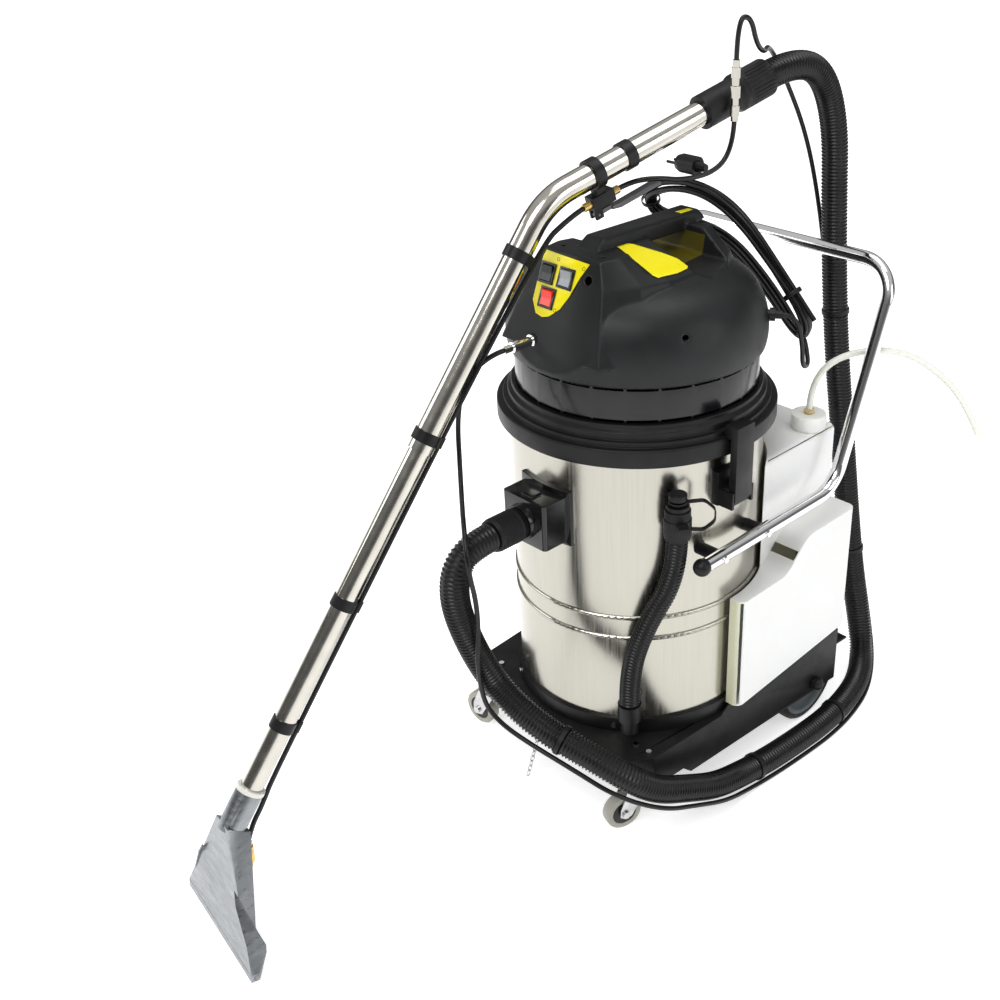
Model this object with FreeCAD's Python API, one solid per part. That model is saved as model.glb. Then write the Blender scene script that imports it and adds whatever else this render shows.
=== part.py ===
import FreeCAD, Part
import os
import math
from FreeCAD import Vector as V

# Carpet cleaner (spray extraction machine), millimetres.
# Built round the drum axis (x = y = 0, floor z = 0, front = -Y, tank plate = +X),
# then moved by SHIFT_X, SHIFT_Y so the base centre of the whole machine is the origin.
SHIFT_X = 0.0
SHIFT_Y = 234.95

# ---- driving dimensions
DRUM_R = 220.0
DRUM_T = 1.5
DRUM_Z0 = 165.0
DRUM_Z1 = 702.0
RIB_Z = (348.0, 389.0)
DECK_Z = 150.0
DECK_T = 4.0
DECK_HW0 = 222.5     # half width of the base at its front corner
DECK_HW1 = 258.0     # and at its rear edge
DECK_Y0 = -240.0
DECK_Y1 = 330.0
RIM_R = 240.0
RIM_Z0 = 681.0
RIM_Z1 = 713.0
VENT_R = 207.0
VENT_Z0 = 745.0
VENT_Z1 = 806.0
WHEEL_R = 86.0
AXLE_R = 8.0
AXLE_Y = 237.0
CASTER_R = 34.0
CASTER_X = 190.0
CASTER_Y = -205.0
CASTER_TRAIL = 32.0
CASTER_YAW = {-1: -86.4, 1: -18.4}   # how far each caster is turned at rest
HANDLE_R = 12.5
HANDLE_X = 250.0
HANDLE_Z = 512.0
TANK_HW = 255.0
TANK_IN = 208.0
TANK_Y0 = -10.0
TANK_T = 3.0
CAP_X, CAP_Y = 168.0, 276.0
PORT_X, PORT_Z = -4.0, 565.0
HOSE_R = 24.0
THIN_R = 4.0
DRAIN_R = 18.0
CORD_R = 4.0
SUPPLY_R = 6.0
LOW_R = 17.5
UP_R = 20.0
RUN = 0.06          # radial running clearance
GAP = 0.3           # gap between moving faces

# wand plane: horizontal base point and direction
WP = V(-129.0, -849.0, 0)
WD = V(0.1601, 0.9871, 0)
WD.normalize()
WN = V(WD.y, -WD.x, 0)      # to the wand's right (+X side)

nodes = {}


def put(name, *shapes):
    s = shapes[0] if len(shapes) == 1 else Part.makeCompound(list(shapes))
    nodes[name] = s
    return s


def cyl(r, a, b):
    d = b.sub(a)
    return Part.makeCylinder(r, d.Length, a, d)


def pipe(ro, ri, a, b):
    return cyl(ro, a, b).cut(cyl(ri, a, b))


def cone(r1, r2, a, b):
    d = b.sub(a)
    return Part.makeCone(r1, r2, d.Length, a, d)


def box(x0, y0, z0, x1, y1, z1):
    return Part.makeBox(x1 - x0, y1 - y0, z1 - z0, V(x0, y0, z0))


def prism(points, direction):
    w = Part.makePolygon([V(*p) for p in points] + [V(*points[0])])
    return Part.Face(w).extrude(V(*direction))


def revolve(rz, x=0.0, y=0.0):
    w = Part.makePolygon([V(x + r, y, z) for r, z in rz] + [V(x + rz[0][0], y, rz[0][1])])
    return Part.Face(w).revolve(V(x, y, 0), V(0, 0, 1), 360)


def fuse(*s):
    out = s[0]
    for t in s[1:]:
        out = out.fuse(t)
    return out


def clean(s):
    try:
        return s.removeSplitter()
    except Exception:
        return s


def mirx(s):
    return s.mirror(V(0, 0, 0), V(1, 0, 0))


def smooth(s, r, test):
    es = [e for e in s.Edges if test(e)]
    try:
        t = s.makeFillet(r, es)
        if t.isValid() and t.Volume > 0:
            return t
    except Exception:
        pass
    print("fillet skipped", r, len(es))
    return s


def wire(points, radius=None):
    # straight runs joined by tangent arcs
    n = len(points)
    radii = []
    edges = []
    last = points[0]
    for i in range(1, n - 1):
        p, q, r = points[i - 1], points[i], points[i + 1]
        a, b = p.sub(q), r.sub(q)
        la, lb = a.Length, b.Length
        a.normalize()
        b.normalize()
        turn = math.pi - a.getAngle(b)
        cut = 0.45 * min(la, lb)
        if radius:
            cut = min(cut, radius * math.tan(turn / 2))
        rad = cut / math.tan(turn / 2)
        m = a.add(b)
        m.normalize()
        c = q.add(m.multiply(rad / math.cos(turn / 2)))
        p1, p2 = q.add(V(a).multiply(cut)), q.add(V(b).multiply(cut))
        v = q.sub(c)
        v.normalize()
        edges.append(Part.LineSegment(last, p1).toShape())
        edges.append(Part.Arc(p1, c.add(v.multiply(rad)), p2).toShape())
        last = p2
        radii.append(round(rad))
    edges.append(Part.LineSegment(last, points[-1]).toShape())
    return Part.Wire(edges), radii


def tube(name, pts, r, inner=0.0, radius=None):
    points = [V(*p) for p in pts]
    w, radii = wire(points, radius)
    start = points[0]
    d = points[1].sub(points[0])
    prof = Part.Wire([Part.makeCircle(r, start, d)])
    s = w.makePipeShell([prof], True, False)
    if inner:
        hole = w.makePipeShell([Part.Wire([Part.makeCircle(inner, start, d)])], True, False)
        s = s.cut(hole)
    area = math.pi * (r * r - inner * inner)
    print("%-16s radii %s length %.0f volume ratio %.4f valid %s" % (
        name, radii, w.Length, abs(s.Volume) / (area * w.Length), s.isValid()))
    return s


def wp(s, z, off=0.0):
    return V(WP).add(V(WD).multiply(s)).add(V(WN).multiply(off)).add(V(0, 0, z))


# =====================================================================
# base
outline = [(-DECK_HW0, -198), (-192, DECK_Y0), (192, DECK_Y0), (DECK_HW0, -198),
           (DECK_HW1, DECK_Y1), (-DECK_HW1, DECK_Y1)]
inset = [(-DECK_HW0 + 3, -197), (-190.8, DECK_Y0 + 3), (190.8, DECK_Y0 + 3), (DECK_HW0 - 3, -197),
         (DECK_HW1 - 3, DECK_Y1 - 3), (-DECK_HW1 + 3, DECK_Y1 - 3)]


def tank_line(y):
    # underside of the tank's side lobes, rising to the rear
    return 167.0 + (y - TANK_Y0) * 0.0585


base = prism([(x, y, DECK_Z - DECK_T) for x, y in outline], (0, 0, DECK_T))
walls = prism([(x, y, 60) for x, y in outline], (0, 0, 130)).cut(prism([(x, y, 50) for x, y in inset], (0, 0, 150)))
# side skirts: shallow at the front, deep along the side, up to the tank lobes
side = prism([(-300, y, z) for y, z in [(-198, DECK_Z), (-198, 96), (-170, 84), (-125, 84), (-105, 66), (300, 66),
                                        (300, tank_line(300) - 2), (TANK_Y0, tank_line(TANK_Y0) - 2), (-30, DECK_Z)]], (600, 0, 0))
masks = side.fuse(box(-300, DECK_Y0 - 5, 104, 300, -198, DECK_Z)).fuse(box(-210, 320, 104, 210, 335, DECK_Z))
base = base.fuse(walls.common(masks))
bay = prism([(x, y, 100) for x, y in inset], (0, 0, 60))
for sx in (-1, 1):
    x = sx * CASTER_X
    # box section under the deck, swivel plate and raceway boss welded to it
    p = box(x - 33, CASTER_Y - 38, 112, x + 33, CASTER_Y + 38, DECK_Z - DECK_T)
    p = p.cut(box(x - 30, CASTER_Y - 38, 115, x + 30, CASTER_Y + 38, DECK_Z - DECK_T))
    p = p.fuse(box(x - 31, CASTER_Y - 36, 109, x + 31, CASTER_Y + 36, 112)).common(bay)
    base = base.fuse(p.fuse(cyl(19, V(x, CASTER_Y, 104), V(x, CASTER_Y, 110))))
    base = base.cut(cyl(5 + RUN, V(x, CASTER_Y, 103), V(x, CASTER_Y, 111.5)))
    # wheel slot through the deck and the inner axle bracket
    base = base.cut(box(min(sx * 211, sx * 243.4), 160, 140, max(sx * 211, sx * 243.4), 314, 155))
    base = base.fuse(box(min(sx * 203, sx * 207), AXLE_Y - 22, 70, max(sx * 203, sx * 207), AXLE_Y + 22, DECK_Z - DECK_T))
    base = base.cut(cyl(AXLE_R, V(sx * 195, AXLE_Y, WHEEL_R), V(sx * 262, AXLE_Y, WHEEL_R)))
# hook for the ground chain
base = base.fuse(cyl(1.5, V(-14, DECK_Y0 + 1, 115.6), V(-14, DECK_Y0 - 11.5, 115.6))).fuse(cyl(2.8, V(-14, DECK_Y0 - 11.5, 115.6), V(-14, DECK_Y0 - 13.5, 115.6)))
put("base_deck", clean(base))

ring = revolve([(206, DECK_Z), (226, DECK_Z), (226, 178), (DRUM_R, 178), (DRUM_R, DRUM_Z0), (206, DRUM_Z0)])
put("drum_seat_ring", ring)


def caster(sx):
    x, y = sx * CASTER_X, CASTER_Y
    top = cyl(22, V(x, y, 100), V(x, y, 104 - GAP))
    pin = cyl(5, V(x, y, 100), V(x, y, 111.2))
    leg = [(y - 18, 101), (y + 18, 101), (y + 14, 84), (y - CASTER_TRAIL + 12, 27), (y - CASTER_TRAIL, 23),
           (y - CASTER_TRAIL - 11, 30), (y - CASTER_TRAIL - 10, 46)]
    l1 = prism([(x - 16, a, b) for a, b in leg], (2.5, 0, 0))
    l2 = prism([(x + 13.5, a, b) for a, b in leg], (2.5, 0, 0))
    ax = V(x, y - CASTER_TRAIL, CASTER_R)
    axle = fuse(cyl(4, ax.add(V(-19, 0, 0)), ax.add(V(19, 0, 0))),
                cyl(7, ax.add(V(-20, 0, 0)), ax.add(V(-16, 0, 0))),
                cyl(7, ax.add(V(16, 0, 0)), ax.add(V(20, 0, 0))))
    fork = clean(fuse(top, pin, l1, l2, axle))
    w = 11.0
    hub = cyl(23, ax.add(V(-w + 1.5, 0, 0)), ax.add(V(w - 1.5, 0, 0)))
    hub = hub.fuse(cyl(9, ax.add(V(-13.2, 0, 0)), ax.add(V(13.2, 0, 0))))
    hub = hub.cut(cyl(4 + RUN, ax.add(V(-14, 0, 0)), ax.add(V(14, 0, 0))))
    tyre = cyl(CASTER_R, ax.add(V(-w, 0, 0)), ax.add(V(w, 0, 0)))
    tyre = smooth(tyre, 3.5, lambda e: e.BoundBox.XLength < 0.01)
    tyre = tyre.cut(cyl(23, ax.add(V(-w, 0, 0)), ax.add(V(w, 0, 0))))
    for part_ in (fork, hub, tyre):
        part_.rotate(V(x, y, 0), V(0, 0, 1), CASTER_YAW[sx])
    a = math.radians(CASTER_YAW[sx])
    print("caster wheel", sx, round(x + CASTER_TRAIL * math.sin(a), 2), round(y - CASTER_TRAIL * math.cos(a) + SHIFT_Y, 2),
          "axis", round(math.cos(a), 6), round(math.sin(a), 6))
    return fork, hub, tyre


for sx, n in ((-1, "l"), (1, "r")):
    fk_, hub, tyre = caster(sx)
    put("caster_fork_" + n, fk_)
    put("caster_wheel_" + n, hub, tyre)

axle = cyl(AXLE_R, V(-258, AXLE_Y, WHEEL_R), V(258, AXLE_Y, WHEEL_R))
for sx in (-1, 1):
    axle = axle.fuse(cyl(14, V(sx * 207.3, AXLE_Y, WHEEL_R), V(sx * 209.4, AXLE_Y, WHEEL_R)))
    nut = cyl(13, V(sx * 253.4, AXLE_Y, WHEEL_R), V(sx * 262, AXLE_Y, WHEEL_R))
    nut = nut.fuse(Part.makeSphere(14.5, V(sx * 256.5, AXLE_Y, WHEEL_R)).common(cyl(13, V(sx * 260, AXLE_Y, WHEEL_R), V(sx * 280, AXLE_Y, WHEEL_R))))
    axle = axle.fuse(nut)
put("rear_axle", clean(axle))


def rear_wheel(sx):
    def P(x):
        return V(sx * x, AXLE_Y, WHEEL_R)
    disc = cyl(62, P(218), P(235)).fuse(cyl(22, P(210), P(243.6)))
    for a, b in ((213.5, 218), (235, 239.5)):
        disc = disc.fuse(cyl(62, P(a), P(b)).cut(cyl(55, P(a), P(b))))
    disc = disc.cut(cyl(AXLE_R + RUN, P(209), P(245)))
    tyre = cyl(WHEEL_R, P(213), P(240))
    tyre = smooth(tyre, 6, lambda e: e.BoundBox.XLength < 0.01)
    tyre = tyre.cut(cyl(62, P(212), P(241)))
    return clean(disc), tyre


for sx, n in ((-1, "l"), (1, "r")):
    put("rear_wheel_" + n, *rear_wheel(sx))

# ground chain, hangs off the front skirt and lies against the floor
links = []
c0, c1 = V(-14, DECK_Y0 - 6.5, 112), V(-30, -268, 6.0)
step = 11.3
cd = c1.sub(c0)
count = int(cd.Length / step)
cd.normalize()
across = cd.cross(V(0, 1, 0))
across.normalize()
other = cd.cross(across)
other.normalize()


def link(c, n, d):
    # stadium link 2 x 4.2 arcs, wire 1.4 thick, in the plane normal to n
    m = n.cross(d)
    m.normalize()
    h, r = 3.2, 3.6
    a = c.add(V(d).multiply(h))
    b = c.sub(V(d).multiply(h))
    e = [Part.LineSegment(a.add(V(m).multiply(r)), b.add(V(m).multiply(r))).toShape(),
         Part.Arc(b.add(V(m).multiply(r)), b.sub(V(d).multiply(r)), b.sub(V(m).multiply(r))).toShape(),
         Part.LineSegment(b.sub(V(m).multiply(r)), a.sub(V(m).multiply(r))).toShape(),
         Part.Arc(a.sub(V(m).multiply(r)), a.add(V(d).multiply(r)), a.add(V(m).multiply(r))).toShape()]
    w = Part.Wire(e)
    prof = Part.Wire([Part.makeCircle(1.0, a.add(V(m).multiply(r)), d)])
    return w.makePipeShell([prof], True, False)


for i in range(count + 1):
    c = c0.add(V(cd).multiply(step * i))
    links.append(link(c, across if i % 2 else other, cd))
put("ground_chain", *links)

# =====================================================================
# drum
shell = revolve([(DRUM_R - DRUM_T, DRUM_Z0), (DRUM_R, DRUM_Z0), (DRUM_R, DRUM_Z1), (DRUM_R - DRUM_T, DRUM_Z1)])
floor_ = cyl(DRUM_R - DRUM_T, V(0, 0, DRUM_Z0), V(0, 0, DRUM_Z0 + 2))
beads = [Part.makeTorus(DRUM_R - 1.0, 4.5, V(0, 0, z), V(0, 0, 1)) for z in RIB_Z]
shell = fuse(shell, floor_, *beads)
shell = shell.cut(cyl(DRUM_R - DRUM_T, V(0, 0, DRUM_Z0 + 2), V(0, 0, DRUM_Z1)))
DA = math.atan2(-190.0, 157.0)          # direction of the drain outlet
DD = V(math.cos(DA), math.sin(DA), 0)
shell = shell.cut(cyl(13, V(DD).multiply(200).add(V(0, 0, 190)), V(DD).multiply(225).add(V(0, 0, 190))))
shell = shell.cut(cyl(23, V(PORT_X, -180, PORT_Z), V(PORT_X, -230, PORT_Z)))
put("drum_shell", clean(shell))

# inlet box with a curved flange plate, a latch tab on top and a round spigot
ib = box(PORT_X - 49, -270, PORT_Z - 41, PORT_X + 49, -190, PORT_Z + 41)
ib = smooth(ib, 7, lambda e: e.BoundBox.ZLength > 40)
flange = box(PORT_X - 58, -234, PORT_Z - 48, PORT_X + 58, -190, PORT_Z + 52)
flange = flange.common(Part.makeCylinder(DRUM_R + 6, 200, V(0, 0, PORT_Z - 100)))
tab = box(PORT_X - 12, -262, PORT_Z + 41, PORT_X + 12, -240, PORT_Z + 45)
spig = cyl(31, V(PORT_X, -282, PORT_Z), V(PORT_X, -268, PORT_Z))
ip = fuse(ib, flange, tab, spig)
ip = ip.cut(Part.makeCylinder(DRUM_R, 200, V(0, 0, PORT_Z - 100)))
ip = ip.cut(cyl(22, V(PORT_X, -300, PORT_Z), V(PORT_X, -180, PORT_Z)))
put("inlet_port", clean(ip))

cuff = fuse(cyl(27, V(PORT_X, -282, PORT_Z), V(PORT_X, -340, PORT_Z)), cyl(28.5, V(PORT_X, -290, PORT_Z), V(PORT_X, -336, PORT_Z)))
cuff = cuff.cut(cyl(20, V(PORT_X, -270, PORT_Z), V(PORT_X, -345, PORT_Z)))
put("inlet_cuff", clean(cuff))

# drain outlet elbow at the drum foot
ov = V(DD).multiply(248)
oe = fuse(cyl(12.9, V(DD).multiply(212).add(V(0, 0, 190)), V(DD).multiply(250).add(V(0, 0, 190))),
          cyl(18, V(DD).multiply(221).add(V(0, 0, 190)), V(DD).multiply(227).add(V(0, 0, 190))),
          cyl(15.5, ov.add(V(0, 0, 173)), ov.add(V(0, 0, 200))),
          cyl(20.5, ov.add(V(0, 0, 199)), ov.add(V(0, 0, 232))))
oe = oe.cut(cyl(9.6, V(DD).multiply(205).add(V(0, 0, 190)), V(DD).multiply(248.5).add(V(0, 0, 190))))
oe = oe.cut(cyl(10.4, ov.add(V(0, 0, 179)), ov.add(V(0, 0, 240))))
oe = oe.cut(ring)
put("drain_outlet", clean(max(oe.Solids, key=lambda q: q.Volume)))
D0 = V(DD).multiply(248)
DRAIN_PTS = [(D0.x, D0.y, 232), (D0.x, D0.y, 300), (178, -173, 392), (210, -133, 486), (210, -133, 560)]
put("drain_hose", tube("drain_hose", DRAIN_PTS, DRAIN_R, 14.0))
DC = V(210, -133, 0)
dc = fuse(cyl(21.5, DC.add(V(0, 0, 560)), DC.add(V(0, 0, 612))), cyl(23, DC.add(V(0, 0, 566)), DC.add(V(0, 0, 596))))
arm = box(-9, -40, 584, 9, 0, 596)
arm.rotate(V(0, 0, 0), V(0, 0, 1), math.degrees(math.atan2(-133, 210)) + 90)
arm.translate(DC)
dc = dc.fuse(arm)
dc = dc.cut(Part.makeCylinder(DRUM_R, 200, V(0, 0, 500)))
dc = dc.cut(cyl(14, DC.add(V(0, 0, 560)), DC.add(V(0, 0, 613))))
put("drain_cuff", clean(dc))
pl = fuse(cyl(13.7, DC.add(V(0, 0, 600)), DC.add(V(0, 0, 613))), cyl(19, DC.add(V(0, 0, 612.3)), DC.add(V(0, 0, 620))),
          cyl(10, DC.add(V(0, 0, 620)), DC.add(V(0, 0, 630))), cyl(15, DC.add(V(0, 0, 630)), DC.add(V(0, 0, 640))))
put("drain_plug", smooth(clean(pl), 2.0, lambda e: abs(e.BoundBox.ZMax - 640) < 0.01 and e.BoundBox.ZLength < 0.01))
# tether: a flat strap loop from a ring under the plug knob down to the cuff
SA = V(DC.x, DC.y, 0)
sd = V(0.72, 0.694, 0)
sd.normalize()
sn = sd.cross(V(0, 0, 1))


def sp(u, z):
    return SA.add(V(sd).multiply(u)).add(V(0, 0, z))


pts = [sp(13, 625), sp(42, 628), sp(60, 612), sp(60, 590), sp(42, 574), sp(23.1, 575)]
w, _ = wire(pts, 14)
prof = []
for a, b in ((-4.5, -1.1), (4.5, -1.1), (4.5, 1.1), (-4.5, 1.1)):
    prof.append(pts[0].add(V(sn).multiply(a)).add(V(0, 0, b)))
prof = Part.makePolygon(prof + [prof[0]])
strap = w.makePipeShell([prof], True, True)
eye = pipe(15, 10.4, SA.add(V(0, 0, 623.4)), SA.add(V(0, 0, 626.6)))
put("drain_strap", clean(strap.fuse(eye)))

# =====================================================================
# latches
LY = -25.0


def latch(sx):
    zp = 606.0
    base = box(214, LY - 27, 590, 226, LY + 27, 650)
    ears = box(222, LY - 27, 592, 256, LY - 22, 622).fuse(box(222, LY + 22, 592, 256, LY + 27, 622))
    br = base.fuse(ears).cut(Part.makeCylinder(DRUM_R, 200, V(0, 0, 500)))
    br = br.cut(cyl(3 + RUN, V(250, LY - 30, zp), V(250, LY + 30, zp)))
    lev = box(243.5, LY - 21.5, 596, 257, LY + 21.5, 735)
    tip = box(231.5, LY - 21.5, 713.4, 250, LY + 21.5, 735)
    lev = lev.fuse(tip)
    lev = lev.cut(prism([(250, LY - 30, 590), (260, LY - 30, 590), (260, LY - 30, 612)], (0, 60, 0)))
    lev = lev.fuse(cyl(3, V(250, LY - 26.6, zp), V(250, LY + 26.6, zp)))
    lev = lev.cut(box(243, LY - 14, 622, 252, LY + 14, 705))
    br, lev = clean(br), clean(lev)
    return (br, lev) if sx > 0 else (mirx(br), mirx(lev))


bl, ll = latch(-1)
b_r, lr = latch(1)
put("latch_brackets", bl, b_r)
put("latch_l", ll)
put("latch_r", lr)

# =====================================================================
# push handle
ARM_CUT = 65.0      # the left arm is this much shorter
HP = [(HANDLE_X, -108, HANDLE_Z), (HANDLE_X, 248, HANDLE_Z), (HANDLE_X, 393, 892), (-HANDLE_X, 393, 892),
      (-HANDLE_X, 248, HANDLE_Z), (-HANDLE_X, -108 + ARM_CUT, HANDLE_Z)]
put("push_handle", tube("push_handle", HP, HANDLE_R, 11.0, 68))
balls = []
for sx in (-1, 1):
    ye = -108 + (ARM_CUT if sx < 0 else 0)
    k = Part.makeSphere(15, V(sx * HANDLE_X, ye - 9, HANDLE_Z)).cut(
        box(sx * HANDLE_X - 20, ye, HANDLE_Z - 20, sx * HANDLE_X + 20, ye + 18, HANDLE_Z + 20))
    balls.append(clean(k.fuse(cyl(10.9, V(sx * HANDLE_X, ye - 2, HANDLE_Z), V(sx * HANDLE_X, ye + 18, HANDLE_Z)))))
put("handle_ends", *balls)
spacers = []
bolts = []
for sx in (-1, 1):
    for y in (-72 + (ARM_CUT if sx < 0 else 0), 42):
        s = cyl(11, V(sx * 200, y, HANDLE_Z), V(sx * HANDLE_X, y, HANDLE_Z))
        s = s.cut(cyl(HANDLE_R, V(sx * HANDLE_X, -120, HANDLE_Z), V(sx * HANDLE_X, 100, HANDLE_Z)))
        s = s.cut(Part.makeCylinder(DRUM_R, 200, V(0, 0, 420)))
        spacers.append(max(s.Solids, key=lambda q: q.Volume))
        bo = cyl(5.5, V(sx * HANDLE_X, y, HANDLE_Z), V(sx * (HANDLE_X + HANDLE_R + 3), y, HANDLE_Z))
        bo = bo.cut(cyl(HANDLE_R, V(sx * HANDLE_X, -120, HANDLE_Z), V(sx * HANDLE_X, 100, HANDLE_Z)))
        bolts.append(max(bo.Solids, key=lambda q: q.Volume))
put("handle_spacers", *spacers)

# bolts: handle screws, deck bolts over the casters, seat ring screws
for sx in (-1, 1):
    for dx in (-15, 15):
        bolts.append(cyl(5, V(sx * CASTER_X + dx, CASTER_Y + 12, DECK_Z), V(sx * CASTER_X + dx, CASTER_Y + 12, DECK_Z + 4)))
for a in (-58, -122):
    c, s = math.cos(math.radians(a)), math.sin(math.radians(a))
    bo = cyl(4.5, V(216 * c, 216 * s, 163), V(229.5 * c, 229.5 * s, 163)).cut(Part.makeCylinder(226, 60, V(0, 0, 140)))
    bolts.append(max(bo.Solids, key=lambda q: q.Volume))
put("frame_bolts", *bolts)

# =====================================================================
# head
fl = revolve([(0, 704), (224, 704), (224, RIM_Z0), (RIM_R - 3, RIM_Z0), (RIM_R, RIM_Z0 + 3), (RIM_R, RIM_Z1 - 2), (RIM_R - 2, RIM_Z1),
              (229, RIM_Z1), (229, 722), (221, 722), (221, 734), (214, 738), (214, VENT_Z0), (203, VENT_Z0), (203, 712), (0, 712)])
for x in (-80, 80):
    fl = fl.cut(cyl(24, V(x, 10, 700), V(x, 10, 713)))
put("head_flange", clean(fl))

vr = revolve([(203.5, VENT_Z0), (VENT_R, VENT_Z0), (VENT_R, VENT_Z1), (203.5, VENT_Z1)])
cuts = []
for i in range(24):
    a = 15 * i
    for z0, z1 in ((VENT_Z0 + 0.0, VENT_Z0 + 5), (VENT_Z1 - 6, VENT_Z1)):
        b = box(195, -24.5, z0, 215, 24.5, z1)
        b.rotate(V(0, 0, 0), V(0, 0, 1), a)
        cuts.append(b)
vr = vr.cut(Part.makeCompound(cuts))
put("vent_ring", vr)


def head(d):
    # shoulders, d is the inset
    z0 = 806 + (-1 if d else 0)
    pr = [V(x, 0, z) for x, z in [(215 - d, z0), (219 - d, 830), (216.5 - d, 860), (209 - d, 885), (192 - d, 912 - d * 0.6),
                                  (163 - d, 932 - d), (118, 943.5 - d), (60, 946.6 - d), (0, 947 - d)]]
    c = Part.BSplineCurve()
    c.interpolate(pr)
    w = Part.Wire([Part.LineSegment(V(0, 0, z0), pr[0]).toShape(), c.toShape(), Part.LineSegment(pr[-1], V(0, 0, z0)).toShape()])
    sh = Part.Face(w).revolve(V(0, 0, 0), V(0, 0, 1), 360)

    def level(z, p):
        q = [(x - math.copysign(d, x), y - math.copysign(d, y)) for x, y in p]
        q = q + [(-x, y) for x, y in reversed(q)]
        return Part.makePolygon([V(x, y, z) for x, y in q] + [V(q[0][0], q[0][1], z)])
    A = level(840, [(108, -206), (142, -150), (158, -60), (158, 70), (118, 150)])
    B = level(948, [(77, -162), (112, -112), (122, -60), (122, 78), (92, 128)])
    C = level(986 - d, [(60, -147), (66, -112), (58, -80), (58, 84), (56, 118)])
    t1 = Part.makeLoft([A, B], True, True)
    t2 = Part.makeLoft([B, C], True, True)
    tw = t1.fuse(t2)
    s = sh.fuse(tw)
    # front face: one slanted plane
    k = 40.0 / 98.0
    y_at = lambda z: -150 - (978 - z) * k + d
    w = prism([(-120, y_at(1000), 1000), (-120, -400, 1000), (-120, -400, 790), (-120, y_at(790), 790)], (240, 0, 0))
    return s.cut(w), y_at


outer, y_at = head(0.0)
inner, _ = head(4.0)


def recess(g):
    # hand recess under the grip bar: open sides, a tunnel below the bar
    a = prism([(-160, 2 - g, 946 - g), (-160, 20 - g, 938 - g), (-160, 88 + g, 944 - g), (-160, 100 + g, 1010), (-160, -12 - g, 1010)], (320, 0, 0))
    if g:
        a = a.common(box(-160, -50, 900, 160, 150, 990))
    return a


# slopes either side of the grip bar, ahead of the recess
def slope(g):
    p = prism([(16, -84, 992 - g), (140, -84, 944 - g), (140, -84, 1030), (16, -84, 1030)], (0, 96, 0))
    return p.fuse(mirx(p))


body = outer.cut(slope(0)).cut(recess(0))
hollow = inner.cut(slope(5)).cut(recess(4))
dome = body.cut(hollow)
# grip bar across the recess
grip = prism([(0, -118, 984), (0, -96, 1003), (0, 128, 1003), (0, 146, 984), (0, 118, 978), (0, 104, 974), (0, -14, 974), (0, -60, 980)], (21, 0, 0))
grip = grip.fuse(mirx(grip))
grip = smooth(clean(grip), 5, lambda e: e.BoundBox.YLength > 150 and e.BoundBox.ZMin > 1000)
dome = dome.fuse(grip)
# switch holes, solution socket hole, two screw holes, side vents
TILT = math.degrees(math.atan(40.0 / 98.0))
PU = V(0, math.sin(math.radians(TILT)), math.cos(math.radians(TILT)))
PNn = V(0, -math.cos(math.radians(TILT)), math.sin(math.radians(TILT)))


def panel_pt(x, h, out):
    # h measured up the slanted front from z = 930
    return V(x, y_at(930), 930).add(V(PU).multiply(h)).add(V(PNn).multiply(out))


def on_panel(shape):
    # local frame: X right, Y up the panel, Z out of it -> world
    m = FreeCAD.Matrix(1, PU.x, PNn.x, 0, 0, PU.y, PNn.y, y_at(930), 0, PU.z, PNn.z, 930, 0, 0, 0, 1)
    return shape.transformed(m)


SW = [("rocker_a", -40.0, 22.0), ("rocker_b", 1.0, 22.0), ("rocker_c", -28.0, -15.0)]
plate_pts = [(-54, 56), (41, 53), (28, 29), (16, -3), (3, -26), (-16, -42), (-30, -46), (-45, -43), (-58, -24), (-58, 45)]
panel = Part.Face(Part.makePolygon([V(x, y, 0.0) for x, y in plate_pts] + [V(plate_pts[0][0], plate_pts[0][1], 0.0)])).extrude(V(0, 0, 1.6))
bez = []
ROCK_Z = 0.5
ROCK_A = 14.0
for n, x, y in SW:
    hole = box(x - 14, y - 15, -40, x + 14, y + 15, 10)
    panel = panel.cut(hole)
    dome = dome.cut(on_panel(hole))
    b = box(x - 16.5, y - 16.5, 1.6, x + 16.5, y + 16.5, 3.6).fuse(box(x - 13.9, y - 14.9, -20, x + 13.9, y + 14.9, 1.6))
    b = b.cut(box(x - 11.6, y - 13, -14, x + 11.6, y + 13, 4))
    bez.append(on_panel(clean(b)))
    cx = cyl(12.6, V(x - 11.2, y, ROCK_Z), V(x + 11.2, y, ROCK_Z))
    keep = prism([(x - 12, y - 13, -8), (x - 12, y - 13, 6.2), (x - 12, y, 4.0), (x - 12, y + 13, 6.2), (x - 12, y + 13, -8)], (24, 0, 0))
    rk = cx.common(keep)
    rk = rk.fuse(cyl(1.5, V(x - 11.55, y, ROCK_Z), V(x + 11.55, y, ROCK_Z)))
    rk.rotate(V(x, y, ROCK_Z), V(1, 0, 0), ROCK_A / 2)
    put(n, on_panel(clean(rk)))
    pv = panel_pt(x, y, ROCK_Z)
    print("rocker pivot", n, round(pv.x, 3), round(pv.y + SHIFT_Y, 3), round(pv.z, 3))
put("control_panel", on_panel(clean(panel)))
put("switch_bezels", *bez)
for x in (-43, 43):
    dome = dome.cut(cyl(3.2, V(x, -124, 975), V(x, -124, 1000)))
dome = dome.cut(cyl(4.5, V(150, -80, 865), V(230, -110, 905)))
dome = dome.cut(on_panel(cyl(6.5, V(44, 29, -12), V(44, 29, 4))))
QX, QZ = -40.0, 850.4
dome = dome.cut(cyl(7.0, V(QX, -180, QZ), V(QX, -230, QZ)))
GD = V(0.81, 0.586, 0)
GD.normalize()
GZ = 858.0
dome = dome.cut(cyl(8.0, V(GD).multiply(190).add(V(0, 0, GZ)), V(GD).multiply(235).add(V(0, 0, GZ))))
dome = clean(dome)
dome = max(dome.Solids, key=lambda q: q.Volume)
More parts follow.
